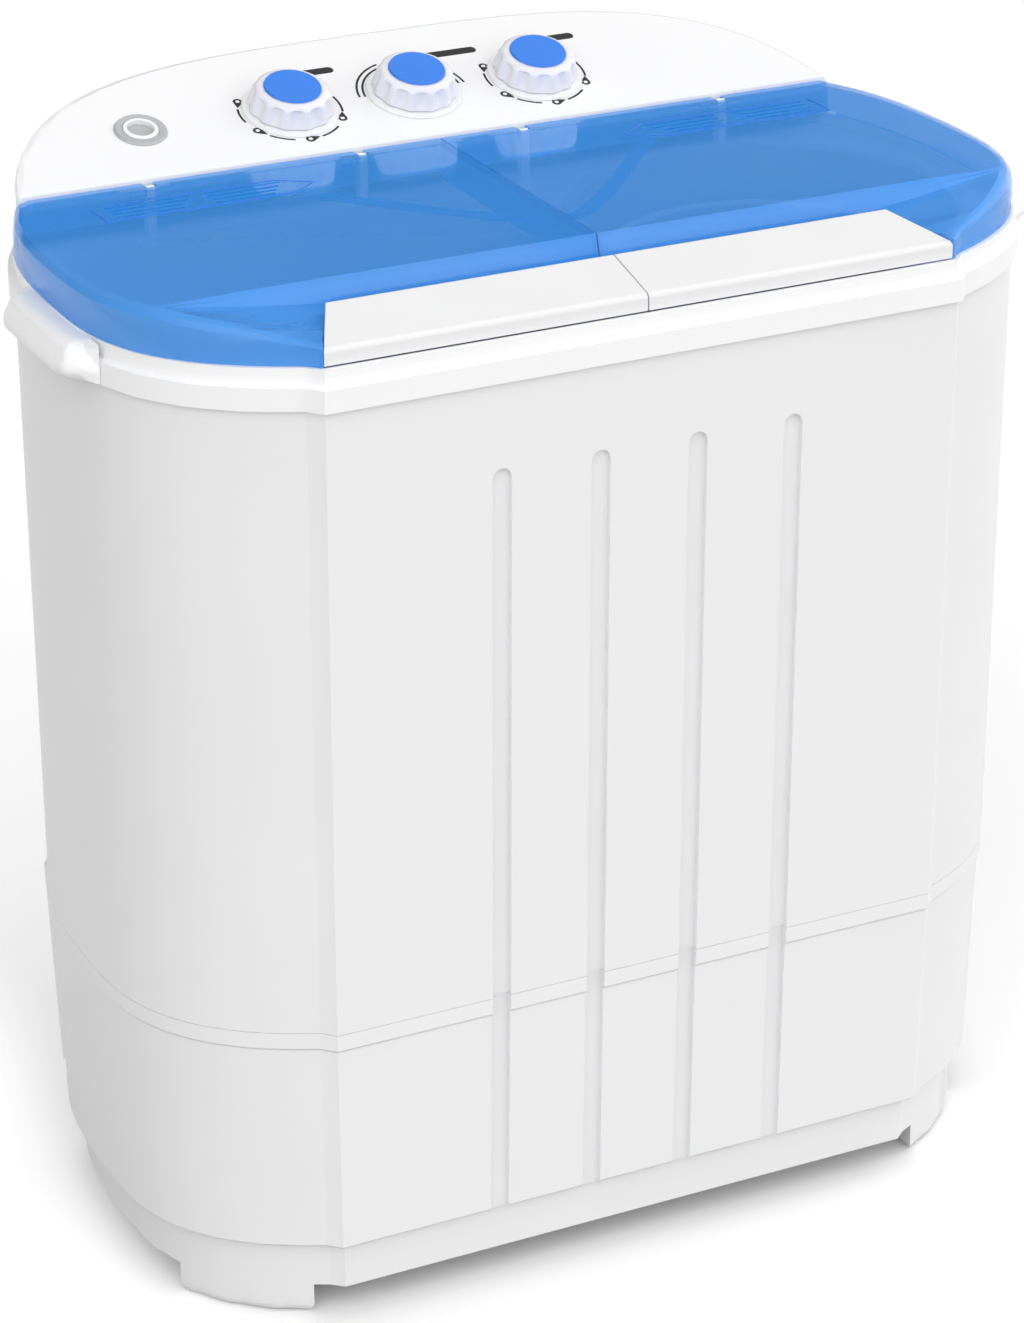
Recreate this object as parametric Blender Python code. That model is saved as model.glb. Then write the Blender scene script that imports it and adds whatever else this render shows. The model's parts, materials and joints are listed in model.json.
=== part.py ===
"""Twin tub washer: a small wash tub and a spin tub side by side in one moulded cabinet.

Metres, +Z up, the origin on the floor under the middle of the machine. The front faces -Y.
"""

import math

import bmesh
import bpy
from mathutils import Matrix, Vector

# Fits and walls
GAP = 0.0003
RUNNING_GAP = 0.0008
SHELL_WALL = 0.0025
TUB_WALL = 0.0022
DECK_WALL = 0.003
CUT_OVER = 0.02

# Plan outline of the rim, a superellipse with a flat front panel standing proud of it
HALF_WIDTH = 0.287
FRONT_REACH = 0.168
BACK_REACH = 0.2315
OUTLINE_CENTRE_Y = -0.041
OUTLINE_POWER = 2.7
OUTLINE_STEPS = 14
PANEL_HALF_WIDTH = 0.193
PANEL_STEP = 0.007
PANEL_FRONT_Y = -0.1905

# Heights above the floor
FOOT_HEIGHT = 0.019
FLOOR_TOP = 0.024
SKIRT_BOTTOM = 0.049
SEAM_BAND = 0.0095
SEAM_HEIGHT = 0.192
RIM_TOP = 0.589
RIM_HEIGHT = 0.023
RIM_STEP_DROP = 0.010
DECK_DROP = 0.007
RIM_BOTTOM = RIM_TOP - RIM_HEIGHT
RIM_STEP = RIM_TOP - RIM_STEP_DROP
DECK_TOP = RIM_TOP - DECK_DROP
RIM_OVERLAP = 0.009
RIM_LIP = 0.0035
RIM_CHAMFER = 0.001

# How far each level stands inside the rim's outline: at the sides, the front and the back
SHELL_TOP_INSET = (0.003, 0.0032, 0.003)
SEAM_INSET = (0.0035, 0.0072, 0.0075)
BAND_STEP = 0.0016
SKIRT_SHOULDER = 0.002
SKIRT_INSET = (0.0085, 0.0115, 0.0105)
PLINTH_TOP_INSET = (0.0165, 0.0185, 0.0175)
PLINTH_BOTTOM_INSET = (0.0172, 0.0195, 0.0185)
RIM_STEP_INSET = (0.0032, 0.0035, 0.0032)
LID_INSET = (0.0035, 0.007, 0.0035)

# Flutes in the front panel
FLUTE_PITCH = 0.0595
FLUTE_COUNT = 4
FLUTE_WIDTH = 0.0115
FLUTE_DEPTH = 0.0032
FLUTE_MARGIN = 0.050
FLUTE_TOP = RIM_BOTTOM - FLUTE_MARGIN
FLUTE_ARCH_STEPS = 6

# Feet
FOOT_INNER_X = 0.199
FOOT_ENDS_Y = (-0.104, 0.066)
FOOT_SOFT = 0.005

# Carry handles on the rim
HANDLE_LENGTH = 0.104
HANDLE_Y = -0.043
HANDLE_PROUD = 0.015
HANDLE_HEIGHT = 0.024
HANDLE_ROOT = 0.006

# Console with the controls
CONSOLE_FRONT = 0.0815
CONSOLE_RISE = 0.024
CONSOLE_FRONT_TOP = RIM_TOP + CONSOLE_RISE
CONSOLE_TILT = math.radians(17)
CONSOLE_INSET = (0.0165, 0.003, 0.0)
CONSOLE_POWER = 3.4
CONSOLE_FILLET = 0.0045
FILLET_STEPS = 2

# Lids
LID_BACK = 0.0795
LID_BACK_RISE = 0.0215
LID_RIDGE_RISE = 0.0255
LID_BACK_TOP = RIM_TOP + LID_BACK_RISE
LID_RIDGE_TOP = RIM_TOP + LID_RIDGE_RISE
LID_RIDGE_Y = -0.1215
LID_FRONT_DROP = 0.006
LID_FILLET = 0.009
LID_FILLET_SHARES = (0.0, 0.12, 0.45, 1.0)
LID_WALL = 0.0025
LID_SPLIT = 0.0008
LID_HEEL = 0.0015
LID_ROWS = 9
LID_COLUMNS = 5
SCOOP_FLOOR_RISE = 0.0115
SCOOP_FLOOR = RIM_TOP + SCOOP_FLOOR_RISE
SCOOP_RISE = 0.0045
SCOOP_END = 0.243
GRIP_FRONT_RISE = 0.010
GRIP_BACK_RISE = 0.020
GRIP_BED_RISE = 0.0065
GRIP_FRONT_TOP = RIM_TOP + GRIP_FRONT_RISE
GRIP_BACK_TOP = RIM_TOP + GRIP_BACK_RISE
GRIP_BED = RIM_TOP + GRIP_BED_RISE
GRIP_BACK_Y = -0.141
GRIP_HALF_FRONT = 0.190
GRIP_HALF_BACK = 0.170
GRIP_LIP = 0.004
GRIP_SOFT = 0.002
VENT_Y = 0.036
VENT_PITCH = 0.0062
VENT_SLOT = 0.0026
VENT_COUNT = 4
VENT_SPANS = ((0.222, 0.171), (0.163, 0.116))
VENT_LEAN = 0.0035
HINGE_Y = 0.0745
HINGE_RISE = 0.018
HINGE_Z = RIM_TOP + HINGE_RISE
HINGE_BARREL_R = 0.0032
HINGE_PIN_R = 0.0013
HINGE_X = (0.052, 0.183)
HINGE_POST = 0.005
HINGE_BARREL = 0.026
HINGE_ARCH_STEPS = 6

# Wash tub
WASH_X = -0.128
WASH_Y = -0.045
WASH_TOP_HALF = (0.130, 0.104)
WASH_BOTTOM_HALF = (0.117, 0.091)
WASH_TOP_CORNER = 0.058
WASH_BOTTOM_CORNER = 0.050
WASH_FLOOR = 0.240
TUB_FLANGE = 0.006
TUB_FLANGE_THICK = 0.002

# Spin tub
SPIN_X = 0.150
SPIN_Y = -0.045
SPIN_TUB_R = 0.110
SPIN_TUB_FLOOR_R = 0.104
SPIN_FLOOR = 0.252
BASKET_R = 0.093
BASKET_FLOOR_R = 0.089
BASKET_WALL = 0.0016
BASKET_FLOOR = 0.272
BASKET_DROP = 0.033
BASKET_TOP = RIM_TOP - BASKET_DROP
BASKET_ROLL = 0.003
HUB_R = 0.016
HUB_HEIGHT = 0.030

# Drive
SHAFT_R = 0.005
PULSATOR_R = 0.084
PULSATOR_Z = 0.2445
PULSATOR_RIM = 0.008
PULSATOR_CROWN = 0.024
PULSATOR_RIBS = 4
PULSATOR_SWEEP = 0.5
WASH_PULLEY_R = 0.066
PULLEY_Z = 0.178
PULLEY_WIDTH = 0.014
MOTOR_PULLEY_R = 0.020
BELT_THICK = 0.003
BELT_WIDTH = 0.008
BELT_RIDE = 0.0008
WASH_MOTOR_X = -0.004
WASH_MOTOR_R = 0.046
WASH_MOTOR_TOP = 0.148
WASH_MOTOR_BOSS = 0.008
SPIN_MOTOR_R = 0.050
SPIN_MOTOR_BOTTOM = 0.062
SPIN_MOTOR_TOP = 0.168
SPRING_R = 0.010
SPRING_RING = 0.040
SPRING_COUNT = 3
SPRING_RIBS = 3
SPIN_MOTOR_BOSS = 0.010
BRAKE_DRUM_R = 0.040
BRAKE_DRUM_Z = 0.186
BRAKE_DRUM_WIDTH = 0.018
BRAKE_DRUM_WALL = 0.004
BRAKE_ARM_THICK = 0.010
BRAKE_SHOE = 0.030
BRAKE_PIVOT_Y = -0.105
BRAKE_REST_GAP = 0.003
BRAKE_POST_R = 0.0035
BEARING_R = 0.014
BEARING_COLLAR = 0.004
BEARING_GAP = 0.0004
SEAL_R = 0.022
SEAL_HEIGHT = 0.030
SCREW_SINK = 0.004
CAPACITOR_AT = (0.060, 0.075)
CAPACITOR_R = 0.0185
CAPACITOR_HEIGHT = 0.064

# Controls
KNOB_X = (-0.0755, 0.004, 0.0835)
KNOB_Y = 0.1235
KNOB_R = 0.0255
KNOB_TOP_R = 0.0228
KNOB_HEIGHT = 0.0155
KNOB_CHAMFER = 0.003
KNOB_ROOF = 0.005
KNOB_FLUTES = 12
KNOB_FLUTE_DEPTH = 0.0011
KNOB_BASE_R = 0.0290
KNOB_BASE_HEIGHT = 0.0014
CAP_R = 0.0172
CAP_THICK = 0.0012
SPINDLE_R = 0.003
TIMER_SIZE = (0.046, 0.040, 0.020)
TIMER_CORNER = 0.006
INLET_X = -0.1685
INLET_Y = 0.1245
INLET_RING_R = 0.0158
INLET_TUBE_R = 0.0105
INLET_BORE_R = 0.008
INLET_BRIM = 0.0016
INLET_TUBE_DEPTH = 0.026

# Drain
VALVE_X = -0.030
VALVE_Y = 0.112
VALVE_R = 0.021
VALVE_BOTTOM = 0.170
VALVE_TOP = 0.235
ROD_R = 0.002
VALVE_WALL = 0.003
PLUG_R = 0.015
PLUG_HEIGHT = 0.010
OUTLET_R = 0.009
DRAIN_R = 0.008
DRAIN_Y = 0.026
ROD_DROP = 0.001
ROD_TOP = RIM_TOP - ROD_DROP
OVERFLOW_X = -0.128
OVERFLOW_WIDTH = 0.060
OVERFLOW_DEPTH = 0.016
OVERFLOW_LIFT = 0.030
OVERFLOW_DROP = 0.069
OVERFLOW_TOP = RIM_TOP - OVERFLOW_DROP
GLAND_X = 0.0
GLAND_Z = 0.150
GLAND_R = 0.0075
GLAND_FLANGE_R = 0.011
GLAND_SEAT = 0.0006
GLAND_BRIM = 0.0022
GLAND_DEPTH = 0.006

# Rear cover
COVER_FRONT_Y = 0.090
COVER_PROUD = 0.0045
COVER_SEAT = 0.0006
COVER_MARGIN = (0.005, 0.002)
COVER_BOTTOM = SKIRT_BOTTOM + COVER_MARGIN[0]
COVER_TOP = SEAM_HEIGHT - COVER_MARGIN[1]
COVER_SLOT_X = 0.075
COVER_SLOTS = 5
COVER_SLOT_PITCH = 0.012
COVER_SLOT = (0.060, 0.0045)
ACCESS_HALF_WIDTH = 0.150
ACCESS_HEIGHTS = (0.070, 0.172)
ACCESS_FROM_Y = 0.125


def clear_scene():
    for thing in list(bpy.data.objects):
        bpy.data.objects.remove(thing, do_unlink=True)


def finish(name, colour, roughness=0.35, metallic=0.0, alpha=1.0):
    """A plain material with the colour given as sRGB hex digits."""
    material = bpy.data.materials.new(name)
    material.use_nodes = True
    shader = material.node_tree.nodes["Principled BSDF"]
    channels = [int(colour[i : i + 2], 16) / 255 for i in (0, 2, 4)]
    linear = [c / 12.92 if c <= 0.04045 else ((c + 0.055) / 1.055) ** 2.4 for c in channels]
    shader.inputs["Base Color"].default_value = (*linear, 1.0)
    shader.inputs["Roughness"].default_value = roughness
    shader.inputs["Metallic"].default_value = metallic
    shader.inputs["Alpha"].default_value = alpha
    return material


def mesh_object(name, bm, material=None, smooth_angle=35):
    """Turns a bmesh into a named object with outward faces."""
    bmesh.ops.recalc_face_normals(bm, faces=bm.faces)
    mesh = bpy.data.meshes.new(name)
    bm.to_mesh(mesh)
    bm.free()
    mesh.shade_smooth()
    mesh.set_sharp_from_angle(angle=math.radians(smooth_angle))
    if material:
        mesh.materials.append(material)
    piece = bpy.data.objects.new(name, mesh)
    bpy.context.scene.collection.objects.link(piece)
    return piece


def loft(rings, capped=True):
    """A skin through closed rings of equal length; capped, or joined end to end into a tube."""
    bm = bmesh.new()
    rows = [[bm.verts.new(p) for p in ring] for ring in rings]
    pairs = list(zip(rows, rows[1:]))
    if not capped:
        pairs.append((rows[-1], rows[0]))
    for lower, upper in pairs:
        for i in range(len(lower)):
            j = (i + 1) % len(lower)
            bm.faces.new((lower[i], lower[j], upper[j], upper[i]))
    if capped:
        bm.faces.new(rows[0][::-1])
        bm.faces.new(rows[-1])
    return bm


def revolve(profile, segments):
    """A turned solid about the upright axis. The profile lists radius and height; radius 0 closes it."""
    bm = bmesh.new()
    rows = []
    for radius, height in profile:
        if radius == 0:
            rows.append([bm.verts.new((0, 0, height))])
            continue
        ring = [(x, y, height) for x, y in circle(radius, segments=segments)]
        rows.append([bm.verts.new(p) for p in ring])
    closed = profile[0][0] != 0
    pairs = list(zip(rows, rows[1:])) + ([(rows[-1], rows[0])] if closed else [])
    for low, high in pairs:
        for i in range(segments):
            j = (i + 1) % segments
            if len(low) == 1:
                bm.faces.new((low[0], high[j], high[i]))
            elif len(high) == 1:
                bm.faces.new((low[i], low[j], high[0]))
            else:
                bm.faces.new((low[i], low[j], high[j], high[i]))
    return bm


def turned(name, profile, at, segments, material):
    """A turned piece standing at a plan position, its origin on its own axis."""
    piece = mesh_object(name, revolve(profile, segments), material)
    piece.location = (*at, 0)
    return piece


def prism(outline, start, end, place):
    """An outline swept between two distances; place maps (u, v, distance) to a point."""
    rings = [[place(u, v, d) for u, v in outline] for d in (start, end)]
    return loft(rings)


def box(low, high):
    outline = [(low[0], low[1]), (high[0], low[1]), (high[0], high[1]), (low[0], high[1])]
    return prism(outline, low[2], high[2], upright)


def along_x(u, v, d):
    return (d, u, v)


def along_y(u, v, d):
    return (u, d, v)


def upright(u, v, d):
    return (u, v, d)


def circle(radius, centre=(0, 0), segments=20):
    angles = [2 * math.pi * i / segments for i in range(segments)]
    return [(centre[0] + radius * math.cos(a), centre[1] + radius * math.sin(a)) for a in angles]


def rounded_box(centre, half, corner, steps=5):
    """Outline of a rectangle with round corners, anticlockwise."""
    points = []
    for k, (sx, sy) in enumerate(((1, 1), (-1, 1), (-1, -1), (1, -1))):
        for i in range(steps + 1):
            angle = math.pi / 2 * (k + i / steps)
            x = centre[0] + sx * (half[0] - corner) + corner * math.cos(angle)
            y = centre[1] + sy * (half[1] - corner) + corner * math.sin(angle)
            points.append((x, y))
    return points


def join(target, other):
    """Copies the faces of one bmesh into another, as a separate body."""
    scratch = bpy.data.meshes.new("scratch")
    other.to_mesh(scratch)
    other.free()
    target.from_mesh(scratch)
    bpy.data.meshes.remove(scratch)
    return target


def cutter(name, bm):
    piece = mesh_object(name, bm)
    piece.hide_render = True
    piece.display_type = "WIRE"
    return piece


def boolean(piece, other, operation="DIFFERENCE", solver="EXACT"):
    step = piece.modifiers.new(operation.lower(), "BOOLEAN")
    step.operation = operation
    step.solver = solver
    step.object = other


def add(piece, bm, solver="EXACT"):
    """Fuses another closed shape into a piece."""
    boolean(piece, cutter(piece.name + "_addition", bm), "UNION", solver)


def cut(piece, bm):
    boolean(piece, cutter(piece.name + "_cut", bm))


def squeeze(inset, more):
    return tuple(value + more for value in inset)


def reach_at(y, inset):
    """How far the outline reaches from its centre, towards the front or the back."""
    return BACK_REACH - inset[2] if y > OUTLINE_CENTRE_Y else FRONT_REACH - inset[1]


def edge_x(y, inset):
    """Half-width of the outline at a given depth."""
    share = min(1.0, abs(y - OUTLINE_CENTRE_Y) / reach_at(y, inset)) ** OUTLINE_POWER
    return (HALF_WIDTH - inset[0]) * (1 - share) ** (1 / OUTLINE_POWER)


def arc_angle(y, inset, power):
    """Where the outline's curve passes a depth, as an angle from the middle of the side."""
    sine = (y - OUTLINE_CENTRE_Y) / reach_at(y, inset)
    return math.asin(math.copysign(abs(sine) ** (power / 2), sine))


def arc_points(inset, start_x=None, start_y=None, end_y=None, steps=OUTLINE_STEPS, power=OUTLINE_POWER):
    """Right half of the curved outline, from a front point round to the middle of the back or to end_y."""
    width = HALF_WIDTH - inset[0]
    if start_y is None:
        share = (1 - (start_x / width) ** power) ** (1 / power)
        start_y = OUTLINE_CENTRE_Y - (FRONT_REACH - inset[1]) * share
    first = arc_angle(start_y, inset, power)
    last = math.pi / 2 if end_y is None else arc_angle(end_y, inset, power)
    points = []
    for i in range(steps + 1):
        angle = first + (last - first) * i / steps
        reach = BACK_REACH - inset[2] if angle > 0 else FRONT_REACH - inset[1]
        x = width * max(0.0, math.cos(angle)) ** (2 / power)
        y = OUTLINE_CENTRE_Y + math.copysign(reach * abs(math.sin(angle)) ** (2 / power), angle)
        points.append((x, y))
    if end_y is None:
        points[-1] = (0.0, points[-1][1])
    return points


def mirrored(points):
    """A right half that ends on the middle plane, followed by its mirror image."""
    return points + [(-x, y) for x, y in reversed(points[:-1])]


def front_y(inset):
    return PANEL_FRONT_Y + inset[1]


def outline(inset):
    """Closed plan outline: the flat front panel, its steps, and the curved sides and back."""
    flat = PANEL_HALF_WIDTH - inset[0] / 2
    right = [(flat, front_y(inset))] + arc_points(inset, start_x=flat + PANEL_STEP)
    return mirrored(right)


def level(inset, height):
    return [(x, y, height) for x, y in outline(inset)]


def flute_slots(grow, bottom, depth):
    """Upright slots with round tops, one for each flute of the front panel."""
    bm = bmesh.new()
    radius = FLUTE_WIDTH / 2 + grow
    spring = FLUTE_TOP - FLUTE_WIDTH / 2
    arch = [math.pi * i / FLUTE_ARCH_STEPS for i in range(FLUTE_ARCH_STEPS + 1)]
    for k in range(FLUTE_COUNT):
        middle = (k - (FLUTE_COUNT - 1) / 2) * FLUTE_PITCH
        slot = [(middle - radius, bottom), (middle + radius, bottom)]
        slot += [(middle + radius * math.cos(a), spring + radius * math.sin(a)) for a in arch]
        rings = [[(x, depth[0](z), z) for x, z in slot], [(x, depth[1](z), z) for x, z in slot]]
        join(bm, loft(rings))
    return bm


def panel_y(z):
    """Front of the flat panel at a height, along its draft from skirt to rim."""
    if z >= SEAM_HEIGHT:
        share = (z - SEAM_HEIGHT) / (RIM_BOTTOM - SEAM_HEIGHT)
        return front_y(SEAM_INSET) + share * (SHELL_TOP_INSET[1] - SEAM_INSET[1])
    share = (SEAM_HEIGHT - z) / (SEAM_HEIGHT - SKIRT_BOTTOM)
    return front_y(SEAM_INSET) + share * (SKIRT_INSET[1] - SEAM_INSET[1])


def flutes(grow, bottom):
    """The flutes themselves, or with grow the solid behind them that keeps the wall's thickness."""
    front = (lambda z: panel_y(z) - CUT_OVER)
    back = (lambda z: panel_y(z) + FLUTE_DEPTH + grow)
    return flute_slots(grow, bottom, (front, back))


def make_cabinet(material):
    """Upper shell: a drafted tube between the seam and the rim, with the flutes' upper ends."""
    bottom = SEAM_HEIGHT + GAP
    top = RIM_BOTTOM + RIM_OVERLAP
    piece = mesh_object("cabinet", loft([level(SEAM_INSET, bottom), level(SHELL_TOP_INSET, top)]), material)
    cut(piece, flutes(0.0, bottom - 2 * CUT_OVER))
    inside = [
        level(squeeze(SEAM_INSET, SHELL_WALL), bottom - CUT_OVER),
        level(squeeze(SHELL_TOP_INSET, SHELL_WALL), top + CUT_OVER),
    ]
    hollow = cutter("cabinet_hollow", loft(inside))
    cut(hollow, flutes(SHELL_WALL, bottom - 4 * CUT_OVER))
    boolean(piece, hollow)
    return piece


def foot_edge():
    """Heights and insets of a foot's lower edge, rounded from the floor up to the plinth's wall."""
    steps = []
    for k in range(FILLET_STEPS + 1):
        angle = math.pi / 2 * k / FILLET_STEPS
        steps.append((FOOT_SOFT * (1 - math.sin(angle)), FOOT_SOFT * (1 - math.cos(angle))))
    return steps


def foot_channel(low, high):
    """Gap between the feet, from one plan corner to the other, with its edges rounded off at the floor."""
    rings = []
    for pull, z in [(FOOT_SOFT, -CUT_OVER)] + foot_edge() + [(0, FOOT_HEIGHT)]:
        left, front = low[0] - pull, low[1] - pull
        right, back = high[0] + pull, high[1] + pull
        rings.append([(left, front, z), (right, front, z), (right, back, z), (left, back, z)])
    return loft(rings)


def make_base(material):
    """Lower skirt with its seam band, recessed plinth, four moulded feet and an open top."""
    band_bottom = SEAM_HEIGHT - SEAM_BAND
    under_band = squeeze(SEAM_INSET, BAND_STEP)
    rings = [level(squeeze(PLINTH_BOTTOM_INSET, pull), z) for pull, z in foot_edge()]
    rings += [
        level(PLINTH_BOTTOM_INSET, FOOT_HEIGHT),
        level(PLINTH_TOP_INSET, SKIRT_BOTTOM),
        level(squeeze(SKIRT_INSET, SKIRT_SHOULDER), SKIRT_BOTTOM),
        level(SKIRT_INSET, SKIRT_BOTTOM + SKIRT_SHOULDER),
        level(under_band, band_bottom - SKIRT_SHOULDER),
        level(SEAM_INSET, band_bottom),
        level(SEAM_INSET, SEAM_HEIGHT),
    ]
    piece = mesh_object("base", loft(rings), material)
    cut(piece, foot_channel((-FOOT_INNER_X, -HALF_WIDTH), (FOOT_INNER_X, HALF_WIDTH)))
    cut(piece, foot_channel((-2 * HALF_WIDTH, FOOT_ENDS_Y[0]), (2 * HALF_WIDTH, FOOT_ENDS_Y[1])))
    cut(piece, flutes(0.0, SKIRT_BOTTOM - CUT_OVER))
    wall = SHELL_WALL
    ledge = SKIRT_BOTTOM + wall + SKIRT_SHOULDER
    hollow = [
        level(squeeze(PLINTH_TOP_INSET, wall), FLOOR_TOP),
        level(squeeze(PLINTH_TOP_INSET, wall), ledge),
        level(squeeze(SKIRT_INSET, wall), ledge + SKIRT_SHOULDER),
        level(squeeze(under_band, wall), SEAM_HEIGHT + CUT_OVER),
    ]
    hollow = cutter("base_hollow", loft(hollow))
    cut(hollow, flutes(wall, SKIRT_BOTTOM - 2 * CUT_OVER))
    boolean(piece, hollow)
    low, high = ACCESS_HEIGHTS
    back = OUTLINE_CENTRE_Y + BACK_REACH
    cut(piece, box((-ACCESS_HALF_WIDTH, ACCESS_FROM_Y, low), (ACCESS_HALF_WIDTH, back + CUT_OVER, high)))
    return piece


def tub_mouth(clearance, centre, half, corner):
    return rounded_box(centre, (half[0] + clearance, half[1] + clearance), corner + clearance, 5)


def make_top_frame(material):
    """Rim and deck: the stepped flange over the cabinet, openings for the tubs, handles and hinge posts."""
    flush = (0, 0, 0)
    lip = squeeze(RIM_STEP_INSET, RIM_LIP)
    rings = [
        level(flush, RIM_BOTTOM),
        level(flush, RIM_STEP),
        level(RIM_STEP_INSET, RIM_STEP + RIM_CHAMFER),
        level(RIM_STEP_INSET, RIM_TOP),
        level(lip, RIM_TOP),
        level(lip, DECK_TOP),
    ]
    under = DECK_TOP - DECK_WALL
    piece = mesh_object("top_frame", loft(rings), material)
    for side in (-1, 1):
        add(piece, handle(side), "MANIFOLD")
    for x in hinge_places():
        add(piece, hinge_post(x))
    sleeve = squeeze(flush, SHELL_TOP_INSET[0] - GAP)
    pocket = [
        level(sleeve, RIM_BOTTOM - CUT_OVER),
        level(sleeve, RIM_BOTTOM + RIM_OVERLAP + GAP),
        level(squeeze(lip, GAP), under),
    ]
    cut(piece, loft(pocket))
    wash = tub_mouth(TUB_WALL + GAP, (WASH_X, WASH_Y), WASH_TOP_HALF, WASH_TOP_CORNER)
    spin = circle(SPIN_TUB_R + TUB_WALL + TUB_FLANGE / 3, (SPIN_X, SPIN_Y), 28)
    rod = circle(ROD_R + RUNNING_GAP, (VALVE_X, VALVE_Y), 10)
    holes = bmesh.new()
    for hole in (wash, spin, rod):
        join(holes, prism(hole, under - CUT_OVER, RIM_TOP, upright))
    cut(piece, holes)
    cut(piece, prism(circle(HINGE_PIN_R + GAP, (HINGE_Y, HINGE_Z), 10), -HALF_WIDTH, HALF_WIDTH, along_x))
    return piece


def handle(side):
    """A rounded lug along the rim's side that a hand lifts by."""
    rim = edge_x(HANDLE_Y, (0, 0, 0))
    half = HANDLE_LENGTH / 2
    top = RIM_BOTTOM + HANDLE_HEIGHT
    swell = HANDLE_PROUD / 5
    levels = (
        (2 * swell, RIM_BOTTOM + GAP),
        (swell / 3, RIM_BOTTOM + HANDLE_HEIGHT / 6),
        (0.0, RIM_BOTTOM + HANDLE_HEIGHT * 0.4),
        (1.3 * swell, top - HANDLE_HEIGHT / 6),
        (3 * swell, top - HANDLE_HEIGHT / 16),
    )
    rings = []
    for pull, z in levels:
        reach = rim + HANDLE_PROUD - pull
        tip = HANDLE_Y - half + pull
        shape = [
            (rim - HANDLE_ROOT, HANDLE_Y - half - HANDLE_ROOT / 2),
            (reach - 3.2 * swell, tip),
            (reach - swell, tip + 1.7 * swell),
            (reach, tip + 4.6 * swell),
        ]
        shape += [(x, 2 * HANDLE_Y - y) for x, y in reversed(shape)]
        rings.append([(side * x, y, z) for x, y in shape])
    return loft(rings)


def hinge_places():
    return [side * x for side in (-1, 1) for x in HINGE_X]


def hinge_post(x):
    """An upright ear with a round top that carries one hinge pin."""
    ear = HINGE_BARREL_R
    angles = [math.pi * i / HINGE_ARCH_STEPS for i in range(HINGE_ARCH_STEPS + 1)]
    foot_z = DECK_TOP - DECK_WALL / 3
    shape = [(HINGE_Y - ear, foot_z), (HINGE_Y + ear, foot_z)]
    shape += [(HINGE_Y + ear * math.cos(a), HINGE_Z + ear * math.sin(a)) for a in angles]
    return prism(shape, x - HINGE_POST / 2, x + HINGE_POST / 2, along_x)


def console_plane(y):
    """Height of the tilted control face."""
    return CONSOLE_FRONT_TOP + (y - CONSOLE_FRONT) * math.tan(CONSOLE_TILT)


def panel_place(x, y):
    """Maps (u, v, distance) from a spot on the control face: across, up the slope and out of it."""
    slope = Vector((0, math.cos(CONSOLE_TILT), math.sin(CONSOLE_TILT)))
    normal = Vector((0, -math.sin(CONSOLE_TILT), math.cos(CONSOLE_TILT)))
    spot = Vector((x, y, console_plane(y)))
    return lambda u, v, d: spot + Vector((u, 0, 0)) + slope * v + normal * d


def console_ring(pull, height, inset=CONSOLE_INSET, power=CONSOLE_POWER):
    points = arc_points(squeeze(inset, pull), start_y=CONSOLE_FRONT + pull / 4, power=power)
    return [(x, y, height(y)) for x, y in mirrored(points)]


def make_control_panel(material):
    """Hood over the timers: it rises from the rim's back, a little squarer, to the tilted control face."""
    fillet = CONSOLE_FILLET
    rings = [console_ring(0, lambda y: RIM_TOP + GAP, RIM_STEP_INSET, OUTLINE_POWER)]
    for k in range(FILLET_STEPS + 1):
        angle = math.pi / 2 * k / FILLET_STEPS
        drop = fillet * (1 - math.sin(angle))
        pull = fillet * (1 - math.cos(angle))
        rings.append(console_ring(pull, lambda y, drop=drop: console_plane(y) - drop))
    piece = mesh_object("control_panel", loft(rings), material)
    wall = SHELL_WALL
    hollow = [
        console_ring(wall, lambda y: RIM_TOP - GAP, RIM_STEP_INSET, OUTLINE_POWER),
        console_ring(wall, lambda y: console_plane(y) - fillet),
        console_ring(fillet, lambda y: console_plane(y) - wall / math.cos(CONSOLE_TILT)),
    ]
    cut(piece, loft(hollow))
    holes = bmesh.new()
    for x in KNOB_X:
        spindle = circle(SPINDLE_R + RUNNING_GAP, segments=12)
        join(holes, prism(spindle, -CUT_OVER, CUT_OVER, panel_place(x, KNOB_Y)))
    port = circle(INLET_TUBE_R + GAP, segments=20)
    join(holes, prism(port, -CUT_OVER, CUT_OVER, panel_place(INLET_X, INLET_Y)))
    cut(piece, holes)
    return piece


def lid_top(y):
    """Height of a lid's top: it rises gently from the hinge to the ridge, then falls to the front."""
    if y < LID_RIDGE_Y:
        return LID_RIDGE_TOP - LID_FRONT_DROP * (LID_RIDGE_Y - y) / (LID_RIDGE_Y - front_y(LID_INSET))
    return LID_RIDGE_TOP - (LID_RIDGE_TOP - LID_BACK_TOP) * (y - LID_RIDGE_Y) / (LID_BACK - LID_RIDGE_Y)


def between(value, low, high):
    """How far a value lies from low to high, eased at both ends."""
    share = min(1.0, max(0.0, (value - low) / (high - low)))
    return share * share * (3 - 2 * share)


def lid_height(x, y, edge):
    """Top of a lid: its crown, less the rounded rim and the finger recess in front of the ridge."""
    near = min(edge - x, y - front_y(LID_INSET), LID_FILLET)
    bend = 1 - near / LID_FILLET
    crown = lid_top(y) - LID_FILLET * (1 - math.sqrt(1 - bend * bend))
    recess = between(-y, -LID_RIDGE_Y, SCOOP_RISE - LID_RIDGE_Y) * between(-x, -SCOOP_END, -GRIP_HALF_BACK)
    return crown - recess * max(0.0, crown - SCOOP_FLOOR)


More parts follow.
